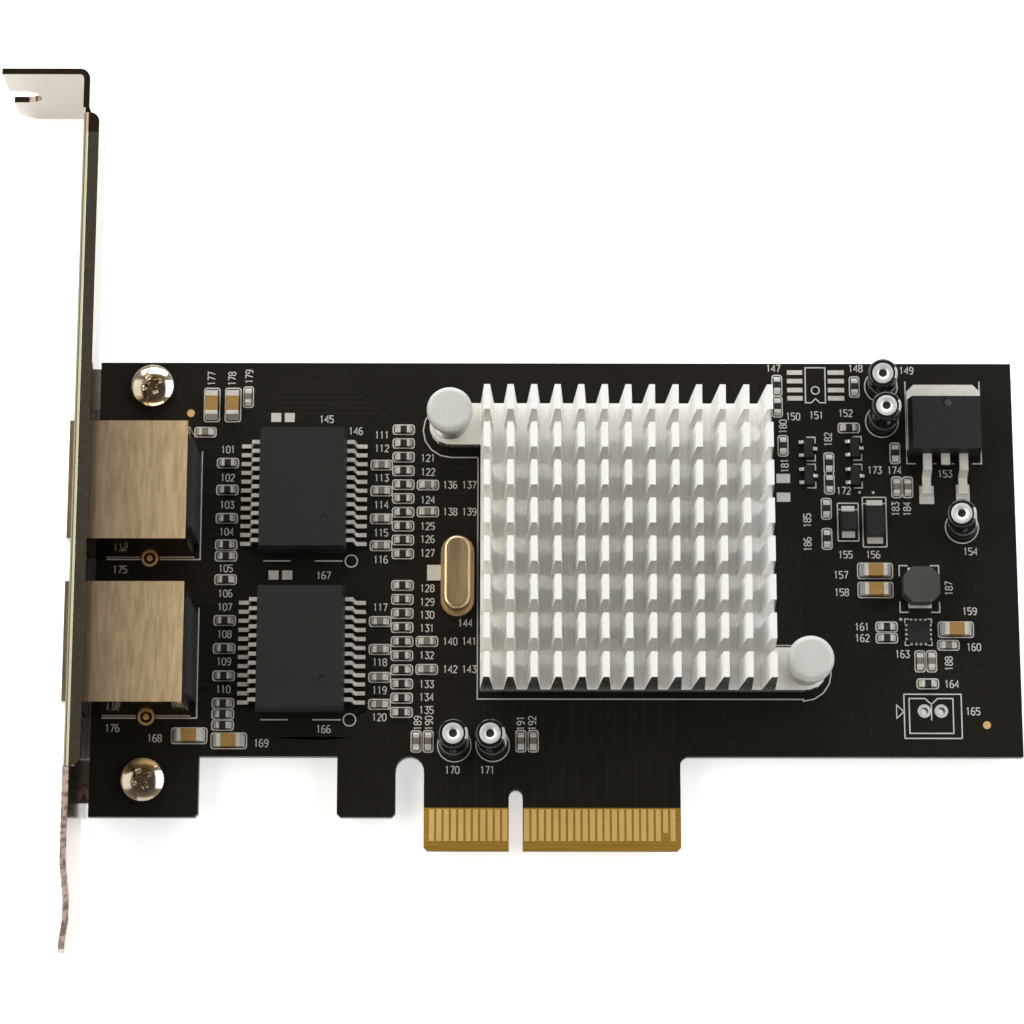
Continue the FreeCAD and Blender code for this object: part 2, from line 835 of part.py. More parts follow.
def make_spring(x, y):
    """The spring under a push pin's head, wound in short straight steps."""
    wire_r = spring_wire / 2
    rise = spring_height - spring_wire
    steps = round(spring_turns * spring_turn_sides)
    path = []
    for i in range(steps + 1):
        angle = 2 * math.pi * i / spring_turn_sides
        path.append(V(x + spring_radius * math.cos(angle), y + spring_radius * math.sin(angle),
                      sink_floor + wire_r + rise * i / steps))
    start = path[0]
    across = [V(start.x + dx, start.y, start.z + dz)
              for dx, dz in ((wire_r, 0), (0, wire_r), (-wire_r, 0), (0, -wire_r), (wire_r, 0))]
    section = Part.makePolygon(across)
    return Part.makePolygon(path).makePipeShell([section], True, True, 1)


# Crystal: drawn can on a flanged base, with a soldered ground tab
def stadium(x, y, length, width, z0, z1):
    """A block with fully round ends, long side along Y."""
    r = width / 2
    straight = length / 2 - r
    middle = block(x - r, x + r, y - straight, y + straight, z0, z1)
    return joined([middle, post(r, x, y - straight, z0, z1), post(r, x, y + straight, z0, z1)])


def make_crystal_base():
    return stadium(crystal_x, crystal_y, crystal_base_length, crystal_base_width,
                   0, crystal_base_height)


def make_crystal_can():
    top = crystal_base_height + crystal_can_height
    can = stadium(crystal_x, crystal_y, crystal_can_length, crystal_can_width,
                  crystal_base_height, top)
    rim = [e for e in can.Edges if abs(e.BoundBox.ZMin - top) < 0.001
           and abs(e.BoundBox.ZMax - top) < 0.001]
    return can.makeChamfer(crystal_can_bevel, rim)


def make_crystal_tab():
    left = crystal_x - crystal_base_width / 2
    half = crystal_tab_width / 2
    return block(left - crystal_tab_length, left, crystal_y + 0.5 - half, crystal_y + 0.5 + half,
                 0, crystal_tab_thickness)


# Upright capacitors: can, sleeve, rubber bung and wires, leaned as they stand
def leaned(solid, x, y, lean_x, lean_y):
    """Turn a solid about its foot so that its top moves by the given lean."""
    lean = math.hypot(lean_x, lean_y)
    angle = math.degrees(math.atan2(lean, capacitor_height))
    turned = solid.copy()
    turned.rotate(V(x, y, capacitor_stand), V(-lean_y, lean_x, 0), angle)
    return turned


def capacitor_wire_places():
    """Where the capacitors' wires pass through the board."""
    half = capacitor_lead_pitch / 2
    return [(place[0] + side * half, place[1]) for place in upright_capacitors
            for side in (-1, 1)]


def make_capacitor(x, y, lean_x, lean_y):
    inner = capacitor_radius - sleeve_thickness
    low = capacitor_stand
    top = low + capacitor_height
    neck = low + bung_height
    can = post(inner, x, y, neck, top - sleeve_thickness)
    sleeve = post(capacitor_radius, x, y, neck - sleeve_fold, top)
    sleeve = sleeve.cut([post(inner, x, y, neck - 1, top - sleeve_thickness),
                         post(capacitor_disc_radius, x, y, top - 1, top + 1)])
    bung = post(inner, x, y, low, neck)
    pieces = [leaned(s, x, y, lean_x, lean_y) for s in (can, sleeve, bung)]
    leads = []
    for side in (-1, 1):
        lead_x = x + side * capacitor_lead_pitch / 2
        leads.append(post(capacitor_lead_radius, lead_x, y, board_back,
                          low - capacitor_lead_gap, wire_sides))
    return pieces + [leads]


# Regulator: moulded body on a metal tab, two leads and a cut centre lead
def make_regulator_tab():
    half = regulator_width / 2
    high = regulator_low + regulator_body_length + regulator_tab_reach
    corner = 1.0
    t = regulator_tab_thickness
    return plan([
        (regulator_x - half, regulator_low + 1), (regulator_x + half, regulator_low + 1),
        (regulator_x + half, high - corner), (regulator_x + half - corner, high),
        (regulator_x - half + corner, high), (regulator_x - half, high - corner),
    ], 0, t)


def make_regulator_body():
    half = regulator_width / 2
    middle = regulator_low + regulator_body_length / 2
    body = tapered_block(regulator_x, middle, half, regulator_body_length / 2, regulator_draft,
                         0, regulator_height, True)
    seat = block(regulator_x - half, regulator_x + half, regulator_low + 1,
                 regulator_low + regulator_body_length + 1, 0, regulator_tab_thickness)
    dimple = post(regulator_dimple_radius, regulator_x,
                  regulator_low + regulator_body_length - regulator_dimple_inset,
                  regulator_height - regulator_dimple_depth, regulator_height + 1, hole_sides)
    return body.cut([seat, dimple])


def make_regulator_leads():
    t = regulator_lead_thickness
    start = regulator_low + regulator_draft
    path = [
        (start, regulator_lead_exit), (regulator_low - regulator_lead_step, regulator_lead_exit),
        (regulator_low - regulator_lead_step - 0.9, solder_thickness + t / 2),
        (regulator_low - regulator_lead_reach, solder_thickness + t / 2),
    ]
    outline = strip_outline(path, t)
    half = regulator_lead_width / 2
    leads = []
    for side in (-1, 1):
        x = regulator_x + side * regulator_lead_pitch
        lead = prism([(x - half, y, z) for y, z in outline], V(regulator_lead_width, 0, 0))
        leads.append(lead)
    stub = block(regulator_x - half, regulator_x + half, regulator_low - regulator_stub, start,
                 regulator_lead_exit - t / 2, regulator_lead_exit + t / 2)
    leads.append(stub)
    slope = regulator_body_cutter()
    return [lead.cut(slope) for lead in leads]


def regulator_body_cutter():
    """The regulator body's outer form, which its leads meet."""
    return tapered_block(regulator_x, regulator_low + regulator_body_length / 2,
                         regulator_width / 2, regulator_body_length / 2, regulator_draft,
                         0, regulator_height, True)


# Inductor, converter chip, transistors and diodes
def make_inductor():
    half = inductor_size / 2
    c = inductor_corner
    x = inductor_x
    y = inductor_y
    core = plan([
        (x - half + c, y - half), (x + half - c, y - half), (x + half, y - half + c),
        (x + half, y + half - c), (x + half - c, y + half), (x - half + c, y + half),
        (x - half, y + half - c), (x - half, y - half + c),
    ], inductor_terminal_thickness, inductor_height)
    terminals = []
    wide = inductor_terminal_width / 2
    for side in (-1, 1):
        edge = y + side * (half + inductor_terminal_reach)
        inner = y + side * (half - 1.2)
        terminals.append(block(x - wide, x + wide, min(edge, inner), max(edge, inner),
                               0, inductor_terminal_thickness))
    return core, terminals


def make_converter():
    half = converter_size / 2
    body = block(converter_x - half, converter_x + half, converter_y - half, converter_y + half,
                 solder_thickness, converter_height)
    pads = []
    w = converter_pad_width / 2
    for i in range(converter_pads_per_side):
        along = (i - (converter_pads_per_side - 1) / 2) * converter_pad_pitch
        for side in (-1, 1):
            near = half - converter_pad_reach
            far = half + converter_pad_reach
            x0, x1 = sorted((converter_x + side * near, converter_x + side * far))
            pads.append(block(x0, x1, converter_y + along - w, converter_y + along + w,
                              0, solder_thickness))
            y0, y1 = sorted((converter_y + side * near, converter_y + side * far))
            pads.append(block(converter_x + along - w, converter_x + along + w, y0, y1,
                              0, solder_thickness))
    return body, pads


def make_transistor(x, y):
    half_w = transistor_width / 2
    half_l = transistor_length / 2
    body = tapered_block(x, y, half_w, half_l, transistor_draft, transistor_lead_thickness,
                         transistor_height, True)
    leads = []
    tip = transistor_lead_span / 2
    z = transistor_lead_thickness / 2 + solder_thickness
    shoulder = transistor_height * 0.55
    w = transistor_lead_width / 2
    for side, along in ((-1, -0.5), (-1, 0.5), (1, 0)):
        path = [(x + side * (half_w - transistor_lead_seat), shoulder),
                (x + side * (half_w + transistor_lead_shoulder), z), (x + side * tip, z)]
        outline = strip_outline(path, transistor_lead_thickness)
        start = y + along * transistor_lead_pitch - w
        lead = prism([(px, start, pz) for px, pz in outline], V(0, 2 * w, 0))
        leads.append(lead.cut(body))
    return body, leads


def make_diode(x, y, width, length):
    """A moulded diode whose flat terminals wrap its two ends."""
    t = diode_terminal_thickness
    half_w = width / 2
    half_l = length / 2
    body = tapered_block(x, y, half_w, half_l, 0.15, t, diode_height, True)
    terminals = []
    wide = half_w - 0.25
    for side in (-1, 1):
        path = [(y + side * (half_l - 0.8), t / 2), (y + side * (half_l + diode_terminal_reach),
                                                     t / 2)]
        y0, y1 = sorted((path[0][0], path[1][0]))
        foot = block(x - wide, x + wide, y0, y1, 0, t)
        terminals.append(foot)
    return body, terminals


# Chip resistors and capacitors with soldered ends
def make_chip_part(x, y, turned, length, width, height, end, solder):
    """A body between two end caps, each with its solder running down to the board."""
    half = length / 2
    w = width / 2
    body = block(-half + end, half - end, -w, w, 0, height)
    ends = []
    for side in (-1, 1):
        inner = side * (half - end)
        outer = side * half
        foot = side * (half + solder)
        outline = [(inner, 0), (foot, 0), (outer, height), (inner, height)]
        ends.append(prism([(px, -w, pz) for px, pz in outline], V(0, width, 0)))
    placed = []
    for solid in [body] + ends:
        if turned:
            solid.rotate(V(0, 0, 0), V(0, 0, 1), 90)
        solid.translate(V(x, y, 0))
        placed.append(solid)
    return placed[0], placed[1:]


def make_chip_parts(places, length, width, height, end, solder):
    bodies = []
    ends = []
    for x, y, turned in places:
        body, pair = make_chip_part(x, y, turned, length, width, height, end, solder)
        bodies.append(body)
        ends += pair
    return bodies, ends


def small_resistor_places():
    places = [(left_column_x, y, False) for y in left_column]
    for top in pull_up_tops:
        places += [(pull_up_x, top - i * pull_up_pitch, False) for i in range(pull_up_count)]
    return places + list(other_resistors) + list(ballast_resistors)


def small_capacitor_places():
    places = [(terminator_x, y, False) for y in terminator_column]
    places += [(filter_x, y, False) for y in filter_column]
    return places + list(other_small_capacitors)


# Solder joints that close the jacks' and capacitors' wires on the back
def make_solder_joints():
    places = []
    for y in jack_centres:
        for row_x, shift in jack_pin_rows:
            for i in range(jack_pins_per_row):
                offset = (i - (jack_pins_per_row - 1) / 2) * jack_pin_pitch + shift - 0.635
                places.append((row_x, y + offset))
    joints = []
    for x, y in places + capacitor_wire_places():
        joints.append(turned([(joint_top_radius, board_back - joint_height),
                              (joint_radius, board_back)], x, y, wire_sides))
    return joints


def main():
    os.makedirs("parts", exist_ok=True)
    group("circuit_board", [make_board()])
    group("edge_contacts", make_contacts())
    group("bracket", [make_bracket()])
    group("bracket_screws", [make_screw(y) for y in screw_heights])
    for number, y in enumerate(jack_centres, 1):
        name = "jack_" + str(number)
        group(name + "_shield", [make_shield(y)])
        group(name + "_housing", [make_housing(y)])
        group(name + "_wires", make_wires(y))
        group(name + "_lights", make_lights(y))
    for number, y in enumerate(transformer_centres, 1):
        name = "transformer_" + str(number)
        group(name + "_body", [make_transformer_body(y)])
        group(name + "_leads", make_transformer_leads(y))
    group("heat_sink", [make_heat_sink()])
    group("controller_chip", [make_chip()])
    group("thermal_pad", [make_thermal_pad()])
    group("push_pins", [make_push_pin(x, y) for x, y in pin_places])
    group("push_pin_springs", [make_spring(x, y) for x, y in pin_places])
    group("crystal_base", [make_crystal_base()])
    group("crystal_can", [make_crystal_can()])
    group("crystal_ground_tab", [make_crystal_tab()])
    capacitors = [make_capacitor(*place) for place in upright_capacitors]
    group("capacitor_cans", [c[0] for c in capacitors])
    group("capacitor_sleeves", [c[1] for c in capacitors])
    group("capacitor_bungs", [c[2] for c in capacitors])
    group("capacitor_wires", [lead for c in capacitors for lead in c[3]])
    group("regulator_tab", [make_regulator_tab()])
    group("regulator_body", [make_regulator_body()])
    group("regulator_leads", make_regulator_leads())
    core, terminals = make_inductor()
    group("inductor_core", [core])
    group("inductor_terminals", terminals)
    body, pads = make_converter()
    group("converter_chip", [body])
    group("converter_chip_pads", pads)
    transistors = [make_transistor(x, y) for x, y in transistor_places]
    group("transistor_bodies", [t[0] for t in transistors])
    group("transistor_leads", [lead for t in transistors for lead in t[1]])
    diodes = [make_diode(*place) for place in diode_places]
    group("diode_bodies", [d[0] for d in diodes])
    group("diode_terminals", [foot for d in diodes for foot in d[1]])
    bodies, ends = make_chip_parts(small_resistor_places(), chip_length, chip_width,
                                   chip_body_height, chip_end, chip_solder)
    group("resistor_bodies", bodies)
    group("resistor_ends", ends)
    bodies, ends = make_chip_parts(small_capacitor_places(), chip_length, chip_width,
                                   chip_body_height, chip_end, chip_solder)
    group("small_capacitor_bodies", bodies)
    group("small_capacitor_ends", ends)
    bodies, ends = make_chip_parts(large_capacitors, large_chip_length, large_chip_width,
                                   large_chip_height, large_chip_end, large_chip_solder)
    group("large_capacitor_bodies", bodies)
    group("large_capacitor_ends", ends)
    group("solder_joints", make_solder_joints())


main()
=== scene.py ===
"""Looks of the network interface card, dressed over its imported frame.

Sizes in the classes are millimetres in the frame's own axes: X runs along the card away from
the bracket, Y up the card from the edge connector, Z out of the component side.
"""

import json
import logging
import math
import random
from dataclasses import dataclass, field
from enum import Enum
from typing import Callable, ClassVar, Iterable, Sequence

import bmesh
import bpy
from mathutils import Matrix, Vector


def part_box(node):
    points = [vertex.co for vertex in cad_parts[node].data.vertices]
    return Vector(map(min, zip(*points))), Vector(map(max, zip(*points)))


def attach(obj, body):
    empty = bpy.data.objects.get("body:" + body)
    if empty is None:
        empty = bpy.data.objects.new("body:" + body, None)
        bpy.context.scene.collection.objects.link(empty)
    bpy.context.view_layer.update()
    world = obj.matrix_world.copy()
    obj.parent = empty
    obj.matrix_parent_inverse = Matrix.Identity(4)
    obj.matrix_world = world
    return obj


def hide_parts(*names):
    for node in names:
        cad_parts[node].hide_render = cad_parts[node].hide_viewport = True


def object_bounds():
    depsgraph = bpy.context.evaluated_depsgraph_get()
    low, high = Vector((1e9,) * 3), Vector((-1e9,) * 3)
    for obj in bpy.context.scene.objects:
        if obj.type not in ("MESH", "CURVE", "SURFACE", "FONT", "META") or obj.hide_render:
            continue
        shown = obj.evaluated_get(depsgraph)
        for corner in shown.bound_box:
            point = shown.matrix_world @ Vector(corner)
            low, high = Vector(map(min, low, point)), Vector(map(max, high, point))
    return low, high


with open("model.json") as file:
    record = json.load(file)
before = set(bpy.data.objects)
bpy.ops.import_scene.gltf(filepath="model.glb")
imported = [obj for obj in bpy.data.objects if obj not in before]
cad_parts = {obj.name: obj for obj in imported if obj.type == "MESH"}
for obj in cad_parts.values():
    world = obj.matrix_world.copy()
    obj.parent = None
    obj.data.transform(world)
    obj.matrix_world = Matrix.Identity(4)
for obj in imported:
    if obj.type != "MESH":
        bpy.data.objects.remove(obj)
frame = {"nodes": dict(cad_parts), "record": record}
CAD_BOX = [list(corner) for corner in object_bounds()]

MM = 0.001
Colour = tuple[float, float, float]
Point = tuple[float, float]
Socket = bpy.types.NodeSocket
log = logging.getLogger("network_card")


class Pattern(Enum):
    """The way a surface's fine texture runs."""

    GRAIN = (1.0, 1.0, 1.0)
    BRUSHED_X = (0.03, 1.0, 1.0)
    BRUSHED_Y = (1.0, 0.03, 1.0)
    BRUSHED_XY = (0.25, 0.03, 1.0)


class NodeBench:
    """A node tree, with a method for each kind of node that the finishes and the room need."""

    SLANTED = 0.5
    SQUARE = 0.8

    def __init__(self, tree: bpy.types.NodeTree, place: str = "Object") -> None:
        """Start work on a node tree.

        Args:
            tree: The tree of a material or a world.
            place: The kind of coordinates that its textures go by.
        """
        self.tree = tree
        self.shader = tree.nodes.get("Principled BSDF")
        self.place = tree.nodes.new("ShaderNodeTexCoord").outputs[place]

    def fill(self, socket: Socket, value: object) -> None:
        """Link a socket, or set it to a constant.

        Args:
            socket: The input to fill.
            value: An output socket, a number or a colour.
        """
        if isinstance(value, Socket):
            self.tree.links.new(value, socket)
        elif isinstance(value, tuple) and len(value) == 3 and socket.type == "RGBA":
            socket.default_value = (*value, 1.0)
        else:
            socket.default_value = value

    def node(self, kind: str, inputs: dict[str | int, object]) -> bpy.types.Node:
        """Add a node and fill its inputs.

        Args:
            kind: The node's type, without its prefix.
            inputs: The values of its inputs, by name or number.

        Returns:
            The node.
        """
        node = self.tree.nodes.new(f"ShaderNode{kind}")
        for key, value in inputs.items():
            self.fill(node.inputs[key], value)
        return node

    def noise(self, pattern: Pattern, size: float, detail: float = 4.0,
              harsh: float = 0.55) -> Socket:
        """Noise whose patches are about the given size.

        Args:
            pattern: The way the texture runs.
            size: Patch size in millimetres.
            detail: Number of finer layers.
            harsh: How strong the finer layers are.

        Returns:
            The noise value, about 0.3 to 0.7.
        """
        scale = tuple(s / MM for s in pattern.value)
        stretched = self.node("Mapping", {"Scale": scale, "Vector": self.place})
        return self.node("TexNoise", {"Scale": 1.0 / size, "Detail": detail, "Roughness": harsh,
                                      "Vector": stretched.outputs["Vector"]}).outputs["Fac"]

    def along(self, axis: str) -> Socket:
        """The surface's place along X, Y or Z."""
        return self.node("SeparateXYZ", {0: self.place}).outputs[axis]

    def facing(self, axis: str) -> Socket:
        """How far the surface faces along X, Y or Z, from -1 to 1."""
        direction = self.tree.nodes.new("ShaderNodeNewGeometry").outputs["True Normal"]
        return self.node("SeparateXYZ", {0: direction}).outputs[axis]

    def sum(self, kind: str, first: object, second: object = 0.0) -> Socket:
        """A sum on numbers.

        Args:
            kind: The Math node's operation.
            first: First number or socket.
            second: Second number or socket.

        Returns:
            The result.
        """
        node = self.tree.nodes.new("ShaderNodeMath")
        node.operation = kind
        self.fill(node.inputs[0], first)
        self.fill(node.inputs[1], second)
        return node.outputs[0]

    def beyond(self, axis: str, bound: float) -> Socket:
        """1 where the surface lies beyond a bound in millimetres along an axis, else 0."""
        return self.sum("GREATER_THAN", self.along(axis), bound * MM)

    def short_of(self, axis: str, bound: float) -> Socket:
        """1 where the surface lies short of a bound in millimetres along an axis, else 0."""
        return self.sum("LESS_THAN", self.along(axis), bound * MM)

    def between(self, axis: str, low: float, high: float) -> Socket:
        """1 where the surface lies between two bounds along an axis, else 0."""
        return self.sum("MULTIPLY", self.beyond(axis, low), self.short_of(axis, high))

    def square_to(self, axis: str, share: float) -> Socket:
        """1 where the surface faces along an axis, either way, by more than a share, else 0."""
        return self.sum("GREATER_THAN", self.sum("ABSOLUTE", self.facing(axis)), share)

    def upright(self) -> Socket:
        """1 where the surface stands up from the board as a wall, else 0."""
        return self.sum("LESS_THAN", self.sum("ABSOLUTE", self.facing("Z")), self.SLANTED)

    def span(self, value: Socket, low: float, high: float, start: float = 0.32,
             end: float = 0.68) -> Socket:
        """Spread a value over a range.

        Args:
            value: The value.
            low: Result at the start.
            high: Result at the end.
            start: Value that gives low.
            end: Value that gives high.

        Returns:
            The result, kept within the range.
        """
        return self.node("MapRange", {"From Min": start, "From Max": end, "To Min": low,
                                      "To Max": high, "Value": value}).outputs["Result"]

    def mix(self, share: object, first: object, second: object) -> Socket:
        """A blend of two colours.

        Args:
            share: 0 for the first colour, 1 for the second.
            first: Colour or socket.
            second: Colour or socket.

        Returns:
            The blended colour.
        """
        node = self.tree.nodes.new("ShaderNodeMix")
        node.data_type = "RGBA"
        for number, value in ((0, share), (6, first), (7, second)):
            self.fill(node.inputs[number], value)
        return node.outputs[2]

    def bump(self, height: Socket, depth: float) -> None:
        """Raise the surface by a height of 0 to 1, where 1 stands up the depth in millimetres."""
        raised = self.node("Bump", {"Strength": 1.0, "Distance": depth * MM, "Height": height})
        self.fill(self.shader.inputs["Normal"], raised.outputs["Normal"])


@dataclass(frozen=True)
class Finish:
    """A surface with a drifting colour, a fine texture and an uneven gloss."""

    name: str
    colour: Colour
    drift: Colour
    gloss: tuple[float, float] = (0.4, 0.55)
    metal: float = 0.0
    pattern: Pattern = Pattern.GRAIN
    grain: float = 0.15
    relief: float = 0.004
    patch: float = 6.0
    mirror: float = 0.5
    inner: float = 0.0

    def colours(self, bench: NodeBench) -> Socket:
        """Lay out the nodes for the colour.

        Args:
            bench: The material's bench.

        Returns:
            The colour socket.
        """
        patches = bench.noise(Pattern.GRAIN, self.patch, 3.0)
        streaks = bench.noise(self.pattern, self.grain * 1.7, 5.0, 0.6)
        share = bench.sum("ADD", bench.span(patches, 0.0, 0.55), bench.span(streaks, 0.0, 0.45))
        return bench.mix(share, self.colour, self.drift)

    def metalness(self, bench: NodeBench) -> object:
        """How mirror-like the surface is, from 0 to 1."""
        return self.metal

    def polish(self, bench: NodeBench) -> tuple[Socket, float] | None:
        """Where the surface has a roughness of its own, and which, if it has."""
        return None

    def dress(self, bench: NodeBench) -> None:
        """Lay out the material's nodes.

        Args:
            bench: The material's bench.
        """
        shader = bench.shader.inputs
        bench.fill(shader["Base Color"], self.colours(bench))
        bench.fill(shader["Metallic"], self.metalness(bench))
        shader["Specular IOR Level"].default_value = self.mirror
        if self.inner:
            shader["Subsurface Weight"].default_value = self.inner
            shader["Subsurface Radius"].default_value = (1.0, 1.0, 0.9)
            shader["Subsurface Scale"].default_value = 1.2 * MM
        fine = bench.noise(self.pattern, self.grain, 6.0, 0.6)
        rough = bench.span(fine, *self.gloss)
        polished = self.polish(bench)
        if polished:
            where, gloss = polished
            change = bench.sum("MULTIPLY", where, gloss - self.gloss[0])
            rough = bench.sum("ADD", rough, change)
        bench.fill(shader["Roughness"], rough)
        bench.bump(fine, self.relief)

    def material(self) -> bpy.types.Material:
        """Make the material, or find it if it is made already.

        Returns:
            The material.
        """
        made = bpy.data.materials.get(self.name)
        if made is not None and made.get("card_finish"):
            return made
        made = bpy.data.materials.new(self.name)
        made.use_nodes = True
        self.dress(NodeBench(made.node_tree))
        made["card_finish"] = True
        return made


@dataclass(frozen=True)
class BoardFinish(Finish):
    """Solder mask over the faces, bare laminate on the tongue and along the cut edges."""

    laminate: Colour = (0.34, 0.20, 0.030)
    cut_edge: Colour = (0.030, 0.022, 0.013)
    bare_top: float = 5.9
    bare_left: float = -13.0
    bare_right: float = 23.0

    def colours(self, bench: NodeBench) -> Socket:
        """Lay out the nodes for the mask, the bare tongue and the cut edges.

        Args:
            bench: The material's bench.

        Returns:
            The colour socket.
        """
        mask = super().colours(bench)
        weave = bench.span(bench.noise(Pattern.BRUSHED_X, 0.3, 3.0), 0.0, 1.0)
        bare = bench.mix(weave, self.laminate, tuple(c * 0.7 for c in self.laminate))
        tongue = bench.sum("MULTIPLY", bench.between("X", self.bare_left, self.bare_right),
                           bench.short_of("Y", self.bare_top))
        face = bench.mix(tongue, mask, bare)
        edge = bench.mix(weave, self.cut_edge, tuple(c * 1.8 for c in self.cut_edge))
        return bench.mix(bench.upright(), face, edge)


@dataclass(frozen=True)
class TarnishFinish(Finish):
    """Brushed metal with painted light: warmer and lighter towards one end, with clear walls."""

    # painted light: the light warm colour that the far end drifts to
    far_colour: Colour = (0.97, 0.74, 0.45)
    start: float = -57.5
    end: float = -44.0
    wall_gloss: float = 0.06

    def colours(self, bench: NodeBench) -> Socket:
        """The usual colours, which drift to a light warm colour from end to end, as painted light.
        """
        # painted light: the colour lightens and warms along X from start to end
        share = bench.span(bench.along("X"), 0.0, 1.0, self.start * MM, self.end * MM)
        return bench.mix(share, super().colours(bench), self.far_colour)

    def polish(self, bench: NodeBench) -> tuple[Socket, float]:
        """The upright walls, and their roughness."""
        return bench.upright(), self.wall_gloss


@dataclass(frozen=True)
class CutFinish(Finish):
    """Extruded metal, streaked along its length, with painted shade on the tips and painted light on
    the sides that face X, bright where it is sawn.
    """

    cut_gloss: float = 0.16
    streak: Colour = (0.90, 0.88, 0.82)
    streak_width: float = 0.30
    # painted shade: darker colour for the fin tips above the given height
    tip: Colour = (0.74, 0.74, 0.73)
    tip_from: float = 13.9
    ear: Colour = (0.76, 0.74, 0.68)
    body_middle: float = 15.28
    body_half: float = 20.3
    # painted light: even colour given to the sides that face X
    flank: Colour = (0.95, 0.95, 0.94)

    def colours(self, bench: NodeBench) -> Socket:
        """Lay out the nodes for the drawn streaks, the painted light on the sides, the ears and the
        painted shade on the tips.

        Args:
            bench: The material's bench.

        Returns:
            The colour socket.
        """
        lines = bench.noise(self.pattern, self.streak_width, 3.0, 0.7)
        drawn = bench.mix(bench.span(lines, 0.0, 1.0, 0.44, 0.56), super().colours(bench),
                          self.streak)
        # painted light: sides that face X take their own even colour, without streaks
        drawn = bench.mix(bench.square_to("X", bench.SLANTED), drawn, self.flank)
        off = bench.sum("SUBTRACT", bench.along("X"), self.body_middle * MM)
        outside = bench.sum("GREATER_THAN", bench.sum("ABSOLUTE", off), self.body_half * MM)
        drawn = bench.mix(outside, drawn, self.ear)
        # painted shade: everything above the given height takes the darker tip colour
        return bench.mix(bench.beyond("Z", self.tip_from), drawn, self.tip)

    def metalness(self, bench: NodeBench) -> Socket:
        """How mirror-like the surface is: all of it where it is sawn."""
        return bench.sum("MAXIMUM", bench.square_to("Y", bench.SQUARE), self.metal)

    def polish(self, bench: NodeBench) -> tuple[Socket, float]:
        """The sawn faces, and their roughness."""
        return bench.square_to("Y", bench.SQUARE), self.cut_gloss


@dataclass(frozen=True)
class PlateFinish(Finish):
    """Bright plating, with a painted dark reflection on faces that look left and up, and dull where
    the sheet is sheared.
    """

    # painted reflection: dark olive colour for the faces that look left and up
    fold: Colour = (0.19, 0.19, 0.125)
    ear_edge: Colour = (0.20, 0.15, 0.12)
    tail_edge: Colour = (0.75, 0.60, 0.56)
    tail_dark: Colour = (0.30, 0.22, 0.20)
    ear_from: float = 98.0
    tail_to: float = 9.5
    tail_gloss: float = 0.42

    def sheared(self, bench: NodeBench, place: Socket) -> Socket:
        """1 on the sheared edges that face up where the place is 1, else 0."""
        up = bench.sum("GREATER_THAN", bench.facing("Z"), bench.SQUARE)
        return bench.sum("MULTIPLY", up, place)

    def colours(self, bench: NodeBench) -> Socket:
        """Lay out the nodes for the plating, the painted dark reflection and the sheared edges.

        Args:
            bench: The material's bench.

        Returns:
            The colour socket.
        """
        # painted reflection: faces that look left and up take the dark colour in place of the
        # plating
        left = bench.sum("LESS_THAN", bench.facing("X"), -0.15)
        reflecting_faces = bench.sum("MULTIPLY", left, bench.sum("GREATER_THAN", bench.facing("Z"), 0.1))
        colour = bench.mix(reflecting_faces, super().colours(bench), self.fold)
        ear = self.sheared(bench, bench.beyond("Y", self.ear_from))
        tail = self.sheared(bench, bench.short_of("Y", self.tail_to))
        marks = bench.noise(Pattern.GRAIN, 0.9, 4.0, 0.7)
        mottled = bench.mix(bench.span(marks, 0.0, 1.0, 0.42, 0.58), self.tail_edge, self.tail_dark)
        return bench.mix(tail, bench.mix(ear, colour, self.ear_edge), mottled)

    def polish(self, bench: NodeBench) -> tuple[Socket, float]:
        """The tail's sheared edge, and its roughness."""
        return self.sheared(bench, bench.short_of("Y", self.tail_to)), self.tail_gloss


@dataclass(frozen=True)
class FloorFinish(Finish):
    """Floor that shows white behind the card and keeps its shadow, but not in a strip behind the
    opening by the bracket, where the glow is left out as a painted shadow.
    """

    glow: float = 0.58
    # painted shadow: the strip, along X and Y, where the floor's glow is left out
    gap: tuple[tuple[str, float, float], ...] = (("X", -61.0, -56.3), ("Y", 13.0, 67.0))

    def dress(self, bench: NodeBench) -> None:
        """Lay out the material's nodes, with a glow where the camera or a mirror sees it, left out
        in the painted shadow strip.

        Args:
            bench: The material's bench.
        """
        super().dress(bench)
        rays = bench.tree.nodes.new("ShaderNodeLightPath").outputs
        seen = bench.sum("MAXIMUM", rays["Is Camera Ray"], rays["Is Glossy Ray"])
        seen = bench.sum("MAXIMUM", seen, rays["Is Transmission Ray"])
        # painted shadow: no glow inside the strip, so the floor there shows dark
        across, along = (bench.between(*limits) for limits in self.gap)
        bare = bench.sum("SUBTRACT", 1.0, bench.sum("MULTIPLY", across, along))
        share = bench.sum("MULTIPLY", bench.sum("MULTIPLY", seen, self.glow), bare)
        lit = bench.node("Emission", {"Strength": share})
        both = bench.node("AddShader", {0: bench.shader.outputs[0], 1: lit.outputs[0]})
        bench.fill(bench.tree.nodes["Material Output"].inputs["Surface"], both.outputs[0])


